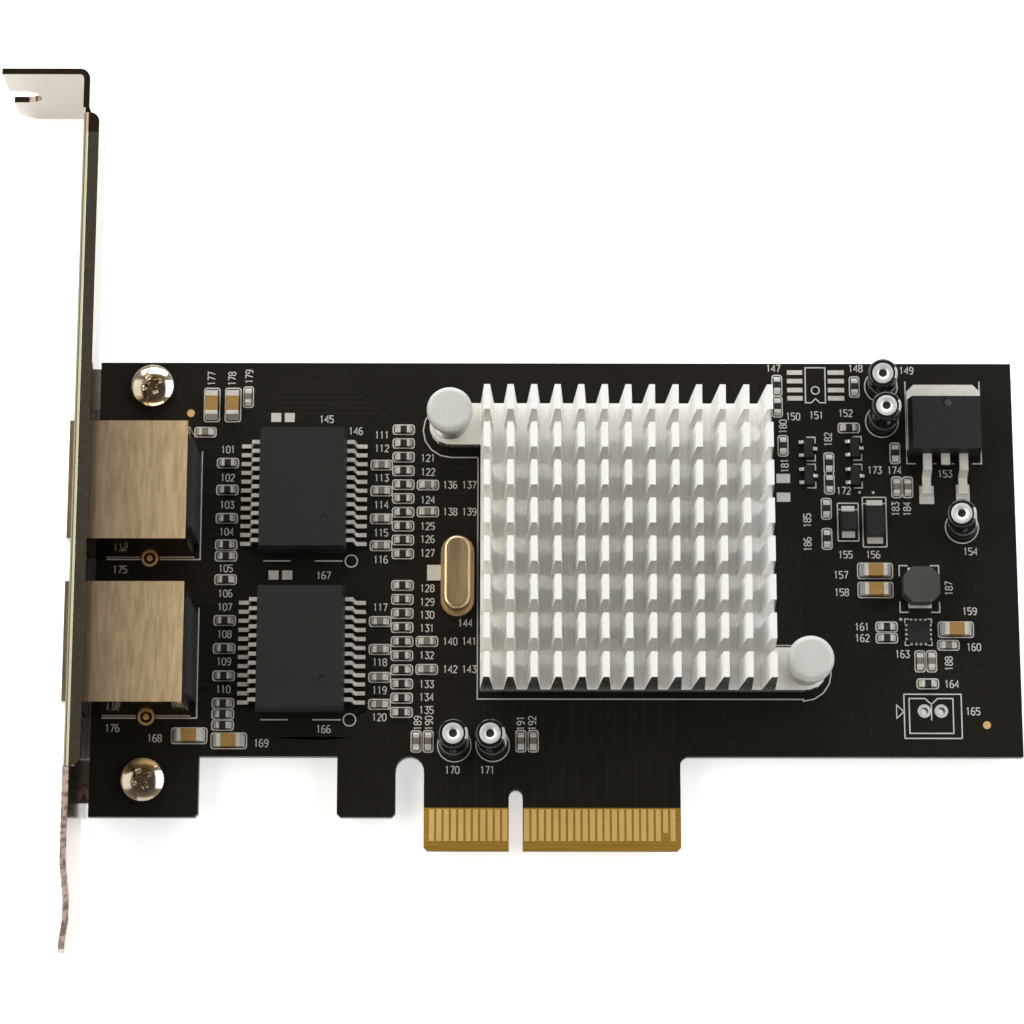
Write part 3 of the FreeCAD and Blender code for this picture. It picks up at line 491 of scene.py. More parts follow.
FINISHES: dict[str, Finish] = {f.name: f for f in (
    BoardFinish("solder_mask", (0.0078, 0.0066, 0.0046), (0.0105, 0.0090, 0.0064),
                gloss=(0.34, 0.44), grain=0.5, relief=0.002, patch=9.0, mirror=0.16),
    Finish("mask_over_copper", (0.012, 0.0105, 0.0075), (0.016, 0.014, 0.010),
           gloss=(0.34, 0.42), grain=0.4, relief=0.002, patch=5.0, mirror=0.18),
    Finish("gold_plating", (0.80, 0.55, 0.20), (0.72, 0.47, 0.15), gloss=(0.40, 0.50), metal=0.5,
           pattern=Pattern.BRUSHED_Y, grain=0.08, relief=0.001, patch=3.0),
    # bracket plating, with a painted dark reflection on its faces that look left and up
    PlateFinish("bracket_steel", (0.53, 0.495, 0.45), (0.475, 0.445, 0.405), gloss=(0.13, 0.20),
                metal=1.0, grain=0.5, relief=0.0006, patch=14.0),
    Finish("screw_steel", (0.62, 0.56, 0.46), (0.50, 0.43, 0.33), gloss=(0.08, 0.14), metal=1.0,
           grain=0.4, relief=0.0008, patch=2.0),
    # jack shields, with painted light towards their far end
    TarnishFinish("shield_metal", (0.36, 0.275, 0.185), (0.29, 0.225, 0.155), gloss=(0.34, 0.42),
                  metal=1.0, pattern=Pattern.BRUSHED_XY, grain=0.12, relief=0.0008, patch=9.0),
    Finish("housing_plastic", (0.012, 0.012, 0.012), (0.02, 0.02, 0.02), gloss=(0.45, 0.6),
           grain=0.12, relief=0.004),
    Finish("contact_gold", (0.83, 0.60, 0.25), (0.72, 0.48, 0.18), gloss=(0.2, 0.3), metal=1.0,
           pattern=Pattern.BRUSHED_X, grain=0.06, relief=0.001, patch=1.0),
    Finish("light_pipe", (0.45, 0.62, 0.30), (0.36, 0.52, 0.24), gloss=(0.12, 0.2), grain=0.2,
           relief=0.002, inner=0.4, patch=1.5),
    Finish("moulding_charcoal", (0.0098, 0.0096, 0.0088), (0.0136, 0.0132, 0.0122),
           gloss=(0.48, 0.62), grain=0.09, relief=0.005, patch=4.0, mirror=0.22),
    Finish("tinned_lead", (0.82, 0.80, 0.74), (0.72, 0.70, 0.64), gloss=(0.34, 0.46), metal=0.55,
           grain=0.4, relief=0.001, patch=1.5),
    # heat sink, with painted shade on its tips and painted light on its sides that face X
    CutFinish("heat_sink_aluminium", (0.98, 0.98, 0.97), (0.94, 0.94, 0.93), gloss=(0.40, 0.52),
              metal=0.06, pattern=Pattern.BRUSHED_Y, grain=0.22, relief=0.004, patch=5.0),
    Finish("chip_substrate", (0.02, 0.035, 0.03), (0.03, 0.05, 0.04), grain=0.2),
    Finish("pad_grey", (0.40, 0.41, 0.43), (0.46, 0.47, 0.49), gloss=(0.8, 0.9), grain=0.2,
           relief=0.01),
    Finish("pin_nylon", (0.49, 0.50, 0.48), (0.455, 0.465, 0.445), gloss=(0.32, 0.42), grain=0.25,
           relief=0.001, inner=0.3, patch=2.5),
    Finish("spring_wire", (0.60, 0.60, 0.60), (0.48, 0.48, 0.48), gloss=(0.25, 0.35), metal=1.0,
           grain=0.06, relief=0.001, patch=1.0),
    Finish("crystal_metal", (0.76, 0.58, 0.35), (0.66, 0.50, 0.30), gloss=(0.30, 0.40), metal=1.0,
           pattern=Pattern.BRUSHED_Y, grain=0.12, relief=0.001, patch=4.0),
    Finish("can_aluminium", (0.92, 0.92, 0.92), (0.84, 0.84, 0.84), gloss=(0.42, 0.5), metal=1.0,
           grain=0.1, relief=0.001, patch=1.0),
    Finish("sleeve_black", (0.006, 0.006, 0.0065), (0.009, 0.009, 0.0095), gloss=(0.09, 0.13),
           grain=2.0, relief=0.0, patch=3.0),
    Finish("bung_rubber", (0.02, 0.02, 0.02), (0.03, 0.03, 0.03), gloss=(0.7, 0.85), grain=0.15),
    Finish("ceramic_tan", (0.30, 0.175, 0.048), (0.23, 0.135, 0.038), gloss=(0.3, 0.45), grain=0.2,
           relief=0.002, patch=1.5),
    Finish("ceramic_grey", (0.13, 0.11, 0.09), (0.17, 0.14, 0.11), gloss=(0.35, 0.5), grain=0.08,
           patch=1.0),
    Finish("resistor_glaze", (0.012, 0.012, 0.013), (0.02, 0.02, 0.02), gloss=(0.25, 0.4),
           grain=0.1, patch=0.8),
    Finish("solder", (0.80, 0.79, 0.74), (0.66, 0.65, 0.60), gloss=(0.28, 0.42), metal=0.55,
           grain=0.7, relief=0.008, patch=1.5),
    Finish("ferrite_grey", (0.029, 0.027, 0.022), (0.037, 0.034, 0.028), gloss=(0.55, 0.7),
           grain=0.12, relief=0.01, patch=2.0),
    Finish("legend_white", (0.50, 0.49, 0.46), (0.40, 0.39, 0.37), gloss=(0.5, 0.65), grain=0.25,
           relief=0.0005, patch=2.0),
    Finish("bare_copper", (0.85, 0.56, 0.28), (0.72, 0.47, 0.22), gloss=(0.35, 0.45), metal=0.6,
           grain=0.3, relief=0.001, patch=1.0),
    # studio floor, with a painted shadow strip beside the bracket
    FloorFinish("studio_floor", (0.84, 0.84, 0.84), (0.82, 0.82, 0.82), gloss=(0.8, 0.9), grain=8.0,
                relief=0.01, patch=60.0, mirror=0.0),
)}


def arc_points(x: float, y: float, radius: float, start: float = 0.0, end: float = 360.0,
               steps: int = 8) -> list[Point]:
    """Points along an arc.

    Args:
        x: Its centre.
        y: Its centre.
        radius: Its radius.
        start: Angle of its first point in degrees.
        end: Angle of its last point in degrees.
        steps: Number of steps between the points.

    Returns:
        The points, without the last where it falls on the first.
    """
    count = steps if abs(end - start) >= 360 else steps + 1
    turns = [math.radians(start + (end - start) * i / steps) for i in range(count)]
    return [(x + radius * math.cos(t), y + radius * math.sin(t)) for t in turns]


class Shape:
    """A mesh in the making, in millimetres."""

    WELD = 1e-7
    COMPONENT_SIDE = -0.5 * MM

    def __init__(self) -> None:
        """Start empty."""
        self.work = bmesh.new()

    def flat(self, corners: Iterable[Sequence[float]]) -> None:
        """Add one face, with its corners given in order."""
        self.work.faces.new([self.work.verts.new(Vector(c) * MM) for c in corners])

    def skin(self, loops: Sequence[Sequence[Sequence[float]]], closed: bool = True,
             capped: bool = False) -> None:
        """Join loops of corners, each to the next.

        Args:
            loops: Loops with the same number of corners.
            closed: Whether each loop's end joins its start.
            capped: Whether the first and last loops are filled.
        """
        rows = [[self.work.verts.new(Vector(c) * MM) for c in loop] for loop in loops]
        count = len(rows[0])
        for low, high in zip(rows, rows[1:]):
            for i in range(count if closed else count - 1):
                j = (i + 1) % count
                self.work.faces.new((low[i], low[j], high[j], high[i]))
        if capped:
            self.work.faces.new(rows[0][::-1])
            self.work.faces.new(rows[-1])

    def ribbon(self, path: Sequence[Point], width: float, z: float, closed: bool = False) -> None:
        """Lay a flat strip along a path.

        Args:
            path: Points of the strip's middle line.
            width: Width of the strip.
            z: Height that it lies at.
            closed: Whether the end joins the start.
        """
        count = len(path)
        left, right = [], []
        for i, (x, y) in enumerate(path):
            before = path[i - 1] if (i > 0 or closed) else None
            after = path[(i + 1) % count] if (i < count - 1 or closed) else None
            into = Vector((x - before[0], y - before[1])) if before else None
            out = Vector((after[0] - x, after[1] - y)) if after else into
            into = into if into is not None else out
            into, out = into.normalized(), out.normalized()
            across = Vector((-into.y - out.y, into.x + out.x))
            across = across.normalized() if across.length > 1e-6 else Vector((-into.y, into.x))
            reach = width / 2 / max(0.5, across.dot(Vector((-into.y, into.x))))
            left.append((x + across.x * reach, y + across.y * reach, z))
            right.append((x - across.x * reach, y - across.y * reach, z))
        for i in range(count if closed else count - 1):
            j = (i + 1) % count
            self.flat((right[i], right[j], left[j], left[i]))

    def frame(self, box: Sequence[float], radius: float, width: float, z: float,
              steps: int = 4) -> None:
        """Draw a rectangle with rounded corners as a strip.

        Args:
            box: Left, low, right and high limits.
            radius: Corner radius.
            width: Width of the strip.
            z: Height that it lies at.
            steps: Steps in each corner.
        """
        left, low, right, high = box
        path = []
        for x, y, start in ((right - radius, high - radius, 0), (left + radius, high - radius, 90),
                            (left + radius, low + radius, 180), (right - radius, low + radius, 270)):
            path += arc_points(x, y, radius, start, start + 90, steps)
        self.ribbon(path, width, z, closed=True)

    def ring(self, x: float, y: float, radius: float, width: float, z: float,
             sides: int = 40) -> None:
        """Draw a circle about a centre as a strip, with the radius at the strip's middle."""
        self.ribbon(arc_points(x, y, radius, steps=sides), width, z, closed=True)

    def spot(self, x: float, y: float, radius: float, z: float, sides: int = 24) -> None:
        """Fill a circle about a centre."""
        self.flat([(px, py, z) for px, py in arc_points(x, y, radius, steps=sides)])

    def pad(self, box: Sequence[float], z: float) -> None:
        """Fill a rectangle with left, low, right and high limits."""
        left, low, right, high = box
        self.flat(((left, low, z), (right, low, z), (right, high, z), (left, high, z)))

    def turned(self, profile: Sequence[Point], x: float, y: float, sides: int = 48,
               arc: tuple[float, float] = (0.0, 360.0)) -> None:
        """Turn a profile about an upright axis.

        Args:
            profile: Radius and height pairs, in order along the surface.
            x: Place of the axis.
            y: Place of the axis.
            sides: Number of sides along the arc.
            arc: Start and end angle in degrees.
        """
        whole = arc[1] - arc[0] >= 360
        loops = [[(px, py, z) for px, py in arc_points(x, y, r, *arc, sides)] for r, z in profile]
        self.skin(loops, closed=whole)
        if not whole:
            for end in (0, -1):
                self.flat([loop[end] for loop in loops])

    def tube(self, path: Sequence[Vector], radius: float, sides: int = 8) -> None:
        """Sweep a round wire along a path.

        Args:
            path: Points along the wire's middle.
            radius: Radius of the wire.
            sides: Number of sides.
        """
        loops = []
        for i, point in enumerate(path):
            ahead = (path[min(i + 1, len(path) - 1)] - path[max(i - 1, 0)]).normalized()
            side = ahead.cross(Vector((0, 0, 1))).normalized()
            top = side.cross(ahead)
            turn = [2 * math.pi * k / sides for k in range(sides)]
            loops.append([point + side * radius * math.cos(t) + top * radius * math.sin(t)
                          for t in turn])
        self.skin(loops, capped=True)

    def take(self, other: "Shape", move: Matrix) -> None:
        """Take in another shape, which is used up, after a move in millimetres.

        Args:
            other: The shape that is taken in.
            move: The move.
        """
        scaled = move.copy()
        scaled.translation = move.translation * MM
        bmesh.ops.transform(other.work, matrix=scaled, verts=other.work.verts)
        mesh = bpy.data.meshes.new("part")
        other.work.to_mesh(mesh)
        other.work.free()
        self.work.from_mesh(mesh)
        bpy.data.meshes.remove(mesh)

    def piece(self, name: str, finish: str, slot: str | None = None, smooth: bool = False,
              replaces: Sequence[str] = ()) -> None:
        """Finish the mesh as a piece that rides on the card.

        Args:
            name: The piece's name.
            finish: Name of its finish.
            slot: Not used; it names the record's slot that the finish comes from, if it isn't the
                finish's name.
            smooth: Whether its faces are shaded smooth, up to sharp edges.
            replaces: Frame nodes that it stands for.
        """
        bmesh.ops.remove_doubles(self.work, verts=self.work.verts, dist=self.WELD)
        bmesh.ops.recalc_face_normals(self.work, faces=self.work.faces)
        if all(len({round(v.co.z, 7) for v in f.verts}) == 1 for f in self.work.faces):
            up = max(v.co.z for v in self.work.verts) > self.COMPONENT_SIDE
            for f in self.work.faces:
                f.normal_update()
                if (f.normal.z > 0) != up:
                    f.normal_flip()
        mesh = bpy.data.meshes.new(name)
        self.work.to_mesh(mesh)
        self.work.free()
        piece = bpy.data.objects.new(name, mesh)
        bpy.context.scene.collection.objects.link(piece)
        mesh.materials.append(FINISHES[finish].material())
        if smooth:
            mesh.shade_smooth()
            mesh.set_sharp_from_angle(angle=math.radians(40))
        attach(piece, "root")
        if replaces:
            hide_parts(*replaces)


def soften(piece: bpy.types.Object, width: float) -> None:
    """Round a piece's sharp edges, as moulded and pressed edges are.

    Args:
        piece: The piece or frame node.
        width: Width of the rounding in millimetres.
    """
    modifier = piece.modifiers.new("soft_edges", "BEVEL")
    modifier.width = width * MM
    modifier.segments = 2
    modifier.limit_method = "ANGLE"
    modifier.angle_limit = math.radians(35)
    modifier.harden_normals = False


@dataclass(frozen=True)
class Solid:
    """One of the separate solids in a frame node."""

    points: tuple[tuple[float, float, float], ...]

    def low(self, axis: int) -> float:
        """Its lowest place along an axis."""
        return min(p[axis] for p in self.points)

    def high(self, axis: int) -> float:
        """Its highest place along an axis."""
        return max(p[axis] for p in self.points)

    def middle(self, axis: int) -> float:
        """Its middle along an axis."""
        return (self.low(axis) + self.high(axis)) / 2

    def stem(self) -> tuple[Vector, Vector]:
        """The middles of its lower and upper rings, for a solid that stands up.

        Returns:
            The foot and the top of its axis.
        """
        split = self.middle(2)
        lower = [Vector(p) for p in self.points if p[2] < split]
        upper = [Vector(p) for p in self.points if p[2] >= split]
        return sum(lower, Vector()) / len(lower), sum(upper, Vector()) / len(upper)


def solids_of(node: str) -> list[Solid]:
    """Split a frame node into its separate solids.

    Args:
        node: The node's name.

    Returns:
        Its solids, in millimetres, sorted by their place.
    """
    mesh = frame["nodes"][node].data
    places: dict[tuple[int, int, int], int] = {}
    owner: list[int] = []

    def find(i: int) -> int:
        """Follow an index to its group."""
        while owner[i] != i:
            owner[i] = owner[owner[i]]
            i = owner[i]
        return i

    keys = []
    for vertex in mesh.vertices:
        key = tuple(round(c * 1e6) for c in vertex.co)
        if key not in places:
            places[key] = len(owner)
            owner.append(len(owner))
        keys.append(places[key])
    for polygon in mesh.polygons:
        first = keys[polygon.vertices[0]]
        for index in polygon.vertices[1:]:
            owner[find(keys[index])] = find(first)
    groups: dict[int, list[tuple[float, float, float]]] = {}
    for key, index in places.items():
        groups.setdefault(find(index), []).append(tuple(c / 1000 for c in key))
    solids = [Solid(tuple(points)) for points in groups.values()]
    return sorted(solids, key=lambda s: (round(s.middle(0), 2), round(s.middle(1), 2)))


def box_mm(node: str) -> tuple[Vector, Vector]:
    """A frame node's corners in millimetres."""
    low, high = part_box(node)
    return low / MM, high / MM


@dataclass
class FrameDress:
    """The frame's own nodes, which keep their form and get a finish and softened edges."""

    soft_edges: dict[str, float] = field(default_factory=lambda: {
        "transformer_1_body": 0.22, "transformer_2_body": 0.22, "regulator_body": 0.2,
        "inductor_core": 0.25, "bracket": 0.12, "jack_1_shield": 0.12, "jack_2_shield": 0.12,
        "jack_1_housing": 0.15, "jack_2_housing": 0.15, "crystal_base": 0.1,
        "large_capacitor_bodies": 0.1, "large_capacitor_ends": 0.1, "transistor_bodies": 0.08,
        "diode_bodies": 0.1, "regulator_tab": 0.12, "resistor_bodies": 0.05,
        "resistor_ends": 0.06, "small_capacitor_bodies": 0.06, "small_capacitor_ends": 0.06,
        "heat_sink": 0.07, "regulator_leads": 0.08, "converter_chip": 0.05,
    })

    def dress(self) -> None:
        """Give each node the finish that its record slot names."""
        for part in frame["record"]["subparts"]:
            node = frame["nodes"][part["node"]]
            finish = FINISHES[part["material_slot"]]
            node.data.materials.clear()
            node.data.materials.append(finish.material())
            width = self.soft_edges.get(part["node"])
            if width:
                soften(node, width)


@dataclass
class BracketScrews:
    """Pan-head screws with a cross recess, through the board into the bracket's tabs."""

    head_radius: float = 2.99
    head_height: float = 1.88
    dome_drop: float = 0.50
    rim_drop: float = 0.03
    recess_span: float = 3.0
    recess_width: float = 0.72
    recess_depth: float = 0.8
    recess_slope: float = 0.22
    hub_radius: float = 0.62
    hub_slope: float = 0.15
    turn: float = 25.0
    bearing: float = 0.02
    neck_radius: float = 1.3
    thread_radius: float = 1.34
    thread_depth: float = 0.12
    thread_pitch: float = 0.5
    foot_radius: float = 1.05

    def height(self, x: float, y: float) -> float:
        """The head's height over a point.

        Args:
            x: Distance from the axis.
            y: Distance from the axis.

        Returns:
            The height over the board.
        """
        reach = math.hypot(x, y) / self.head_radius
        dome = self.head_height * (1 - self.dome_drop * reach ** 2.1 - self.rim_drop * reach ** 12)
        angle = math.radians(self.turn)
        u = x * math.cos(angle) + y * math.sin(angle)
        v = y * math.cos(angle) - x * math.sin(angle)
        hub = min(1.0, max(0.0, (self.hub_radius - math.hypot(u, v)) / self.hub_slope))
        for along, across in ((u, v), (v, u)):
            taper = max(0.0, 1 - abs(along) / (self.recess_span / 2))
            edge = (self.recess_width / 2 - abs(across)) / self.recess_slope
            hub = max(hub, min(1.0, max(0.0, edge)) * min(1.0, taper * 2.6))
        return max(self.bearing, dome - self.recess_depth * hub)

    def build(self) -> None:
        """Make both screws."""
        shape = Shape()
        rings, sides = 34, 120
        for solid in solids_of("bracket_screws"):
            cx, cy, foot = solid.middle(0), solid.middle(1), solid.low(2)
            loops = []
            for i in range(rings + 1):
                r = self.head_radius * (i / rings) if i else 0.004
                loops.append([(cx + x, cy + y, self.height(x, y))
                              for x, y in arc_points(0.0, 0.0, r, steps=sides)])
            shape.skin(loops)
            profile = [(self.head_radius, self.height(self.head_radius, 0)),
                       (self.head_radius, self.bearing), (self.neck_radius, 0.0)]
            z = 0.0
            while z - self.thread_pitch > foot + 0.25:
                profile += [(self.thread_radius, z - 0.05),
                            (self.thread_radius - self.thread_depth, z - self.thread_pitch / 2)]
                z -= self.thread_pitch
            profile += [(self.thread_radius, z - 0.05), (self.foot_radius, foot), (0.01, foot)]
            shape.turned(profile, cx, cy, sides=40)
        shape.piece("pan_head_screws", "screw_steel", smooth=True, replaces=["bracket_screws"])


@dataclass
class PushPins:
    """Nylon push pins that hold the heat sink down, with their springs."""

    crown: float = 0.75
    shaft: float = 1.48
    slit: float = 0.36
    wire: float = 0.25
    coil: float = 2.3
    turns: float = 4.5
    steps: int = 28
    barb_top: float = -1.56

    def build(self) -> None:
        """Make the pins and springs over the frame's own."""
        pins, springs = Shape(), Shape()
        for pin, spring in zip(solids_of("push_pins"), solids_of("push_pin_springs")):
            x, y = pin.middle(0), pin.middle(1)
            rest, under = spring.low(2), spring.high(2) + 0.05
            pins.turned(self.head(pin.high(0) - x - 0.01, pin.high(2), under), x, y, sides=56)
            self.barb(pins, x, y, pin.low(2))
            path = []
            count = int(self.turns * self.steps)
            for i in range(count + 1):
                a = 2 * math.pi * i / self.steps
                rise = (under - rest - 2 * self.wire - 0.1) * i / count
                path.append(Vector((x + self.coil * math.cos(a), y + self.coil * math.sin(a),
                                    rest + self.wire + rise)))
            springs.tube(path, self.wire)
        pins.piece("nylon_push_pins", "pin_nylon", smooth=True, replaces=["push_pins"])
        springs.piece("coiled_springs", "spring_wire", smooth=True,
                      replaces=["push_pin_springs"])

    def head(self, radius: float, top: float, under: float) -> list[Point]:
        """The profile of the head and shaft.

        Args:
            radius: Radius of the head.
            top: Height of its top.
            under: Height of its underside.

        Returns:
            Radius and height pairs from the top down.
        """
        profile = [(0.01, top), (radius * 0.55, top - 0.02)]
        for i in range(9):
            a = math.radians(90 * i / 8)
            profile.append((radius - self.crown + self.crown * math.sin(a),
                            top - self.crown * 0.9 + self.crown * 0.88 * math.cos(a)))
        profile += [(radius, under + 0.35), (radius - 0.12, under + 0.1),
                    (radius - 0.35, under), (self.shaft + 0.1, under), (self.shaft, under - 0.15),
                    (self.shaft, self.barb_top)]
        return profile

    def barb(self, shape: Shape, x: float, y: float, tip: float) -> None:
        """Make the split point under the board, in two halves.

        Args:
            shape: The mesh to add to.
            x: The pin's place.
            y: The pin's place.
            tip: Height of the point.
        """
        profile = [(0.02, self.barb_top), (1.5, self.barb_top), (1.62, -1.6), (1.97, -1.87),
                   (1.9, -2.05), (1.2, tip + 0.35), (0.82, tip), (0.02, tip)]
        thin = [(max(0.02, r - 0.3), z) for r, z in profile]
        for middle, shift in ((0.0, self.slit), (180.0, -self.slit)):
            shape.turned(thin, x + shift * 0.9, y, sides=20, arc=(middle - 78.0, middle + 78.0))


@dataclass
class UprightCapacitors:
    """Electrolytic capacitors: shrunk sleeve with rolled edges over a drawn can."""

    shoulder: float = 0.35
    disc: float = 1.42
    groove: float = 1.5
    groove_depth: float = 0.16
    lean_margin: float = 0.09
    stripe_from: float = 2.1
    stripe_half: float = 24.0
    stripe_lift: float = 1.003

    def build(self) -> None:
        """Make sleeves, cans, painted dark reflections in the cans' tops and stripes over the
        frame's own, each with its lean.
        """
        sleeves, cans, dark_reflections, stripes = Shape(), Shape(), Shape(), Shape()
        for solid in solids_of("capacitor_sleeves"):
            foot, top = solid.stem()
            axis = (top - foot).normalized()
            lean = (top - foot).length * abs(axis.x) / 2
            lean += self.lean_margin * math.hypot(axis.x, axis.y)
            radius = (solid.high(0) - solid.low(0)) / 2 - lean
            reach = [Vector(p).dot(axis) for p in solid.points]
            length = max(reach) - min(reach)
            base = (foot + top) / 2 - axis * length / 2
            turn = Vector((0, 0, 1)).rotation_difference(axis).to_matrix().to_4x4()
            move = Matrix.Translation(base) @ turn
            for shape, part in ((sleeves, self.sleeve(radius, length)),
                                (cans, self.can(length)), (dark_reflections, self.dimple(length))):
                work = Shape()
                work.turned(part, 0.0, 0.0, sides=48)
                shape.take(work, move)
            stripe = Shape()
            part = [(r, z) for r, z in self.sleeve(radius, length) if z > 2.0 and r > 1.6]
            loops = []
            for r, z in [(radius - 0.01, self.stripe_from)] + part:
                arc = arc_points(0.0, 0.0, r * self.stripe_lift, -self.stripe_half,
                                 self.stripe_half)
                loops.append([(x, y, z + 0.004) for x, y in arc])
            stripe.skin(loops, closed=False)
            stripes.take(stripe, move)
        sleeves.piece("shrunk_sleeves", "sleeve_black", smooth=True,
                      replaces=["capacitor_sleeves"])
        cans.piece("drawn_cans", "can_aluminium", smooth=True, replaces=["capacitor_cans"])
        # painted reflection: dark pieces in the recesses of the cans' tops
        dark_reflections.piece("can_top_dark_reflections", "bung_rubber", smooth=True)
        stripes.piece("polarity_stripes", "legend_white", slot="sleeve_black", smooth=True)

    def sleeve(self, radius: float, length: float) -> list[Point]:
        """The sleeve's profile.

        Args:
            radius: Its radius.
            length: Its length.

        Returns:
            Radius and height pairs from the foot to the rim over the can's top.
        """
        profile = [(radius - 0.3, 0.0), (radius - 0.08, 0.02), (radius - 0.01, 0.12)]
        for i in range(9):
            t = i / 8
            dip = self.groove_depth * math.sin(math.pi * t) ** 2
            profile.append((radius - 0.01 - dip, self.groove - 0.45 + 0.9 * t))
        for i in range(8):
            a = math.radians(90 * i / 7)
            profile.append((radius - 0.01 - self.shoulder * (1 - math.cos(a)),
                            length - 0.02 - self.shoulder * (1 - math.sin(a))))
        profile += [(self.disc + 0.14, length - 0.03), (self.disc + 0.03, length - 0.06),
                    (self.disc, length - 0.14)]
        return profile

    def can(self, length: float) -> list[Point]:
        """The profile of the can's bare top, as radius and height from the rim inwards."""
        top = length - 0.07
        return [(self.disc + 0.3, top - 0.4), (self.disc + 0.2, top - 0.05), (self.disc - 0.1, top),
                (0.70, top - 0.01), (0.60, top - 0.06), (0.53, top - 0.3), (0.46, top - 0.5)]

    def dimple(self, length: float) -> list[Point]:
        """The profile of the dark recess in the can's top, coloured as a painted dark reflection,
        from the rim to the middle.
        """
        top = length - 0.07
        return [(0.58, top - 0.16), (0.46, top - 0.42), (0.2, top - 0.52), (0.01, top - 0.54)]


@dataclass
class CrystalCan:
    """The crystal's drawn can, with a rounded rim and a shallow dish in its top."""

    rim: float = 0.5
    steps: int = 6
    sides: int = 28

    def outline(self, low: Vector, high: Vector, inset: float) -> list[Point]:
        """A long hole's outline inside a box.

        Args:
            low: The box's low corner.
            high: The box's high corner.
            inset: How far inside the box it runs.

        Returns:
            The outline's points.
        """
        x, r = (low.x + high.x) / 2, (high.x - low.x) / 2
        upper = arc_points(x, high.y - r, r - inset, 0, 180, self.sides)
        return upper + arc_points(x, low.y + r, r - inset, 180, 360, self.sides)

    def build(self) -> None:
        """Make the can over the frame's own."""
        low, high = box_mm("crystal_can")
        shape = Shape()
        levels = [(0.0, low.z), (0.0, high.z - self.rim)]
        for i in range(1, self.steps + 1):
            a = math.radians(90 * i / self.steps)
            levels.append((self.rim * (1 - math.cos(a)), high.z - self.rim * (1 - math.sin(a))))
        loops = [[(x, y, z) for x, y in self.outline(low, high, inset)] for inset, z in levels]
        middle = [(x, y, high.z) for x, y in self.outline(low, high, self.rim + 0.25)]
        dish = [(x, y, high.z - 0.03) for x, y in self.outline(low, high, self.rim + 0.45)]
        shape.skin(loops + [middle, dish], capped=True)
        shape.piece("crystal_drawn_can", "crystal_metal", smooth=True, replaces=["crystal_can"])


@dataclass
class Numerals:
    """Plain numbers drawn with straight strokes, as a board's legend is."""

    shape: Shape
    stroke: float
    tall: float
    z: float
    advance: float = 4.2
    figure_width: float = 3.0
    STROKES: ClassVar[dict[str, tuple[tuple[Point, ...], ...]]] = {
        "0": (((0, 1), (0, 5), (1, 6), (2, 6), (3, 5), (3, 1), (2, 0), (1, 0), (0, 1)),),
        "1": (((0.5, 5), (1.5, 6), (1.5, 0)),),
        "2": (((0, 5), (1, 6), (2, 6), (3, 5), (3, 4), (0, 0), (3, 0)),),
        "3": (((0, 6), (3, 6), (1.5, 3.7), (3, 2.5), (3, 1), (2, 0), (1, 0), (0, 1)),),
        "4": (((2.4, 0), (2.4, 6), (0, 2), (3, 2)),),
        "5": (((3, 6), (0, 6), (0, 3.5), (2, 3.5), (3, 2.5), (3, 1), (2, 0), (0, 0.4)),),
        "6": (((2.6, 6), (1, 6), (0, 4), (0, 1), (1, 0), (2, 0), (3, 1), (3, 2.5), (2, 3.4),
               (0, 3)),),
        "7": (((0, 6), (3, 6), (1, 0)),),
        "8": (((1, 3.3), (0, 4.2), (0, 5.2), (1, 6), (2, 6), (3, 5.2), (3, 4.2), (2, 3.3), (1, 3.3),
               (0, 2.3), (0, 0.8), (1, 0), (2, 0), (3, 0.8), (3, 2.3), (2, 3.3)),),
        "9": (((0.4, 0), (2, 0), (3, 2), (3, 5), (2, 6), (1, 6), (0, 5), (0, 3.6), (1, 2.8),
               (3, 3)),),
    }

    def write(self, number: int, x: float, y: float, upright: bool) -> None:
        """Draw one number about its middle.

        Args:
            number: The number.
            x: Its middle.
            y: Its middle.
            upright: Whether it reads upwards.
        """
        unit = self.tall / 6
        text = str(number)
        width = (len(text) * self.advance - self.advance + self.figure_width) * unit
        for i, figure in enumerate(text):
            for line in self.STROKES[figure]:
                path = []
                for px, py in line:
                    u = (i * self.advance + px) * unit - width / 2
                    v = py * unit - self.tall / 2
                    path.append((x - v, y + u) if upright else (x + u, y + v))
                self.shape.ribbon(path, self.stroke, self.z)


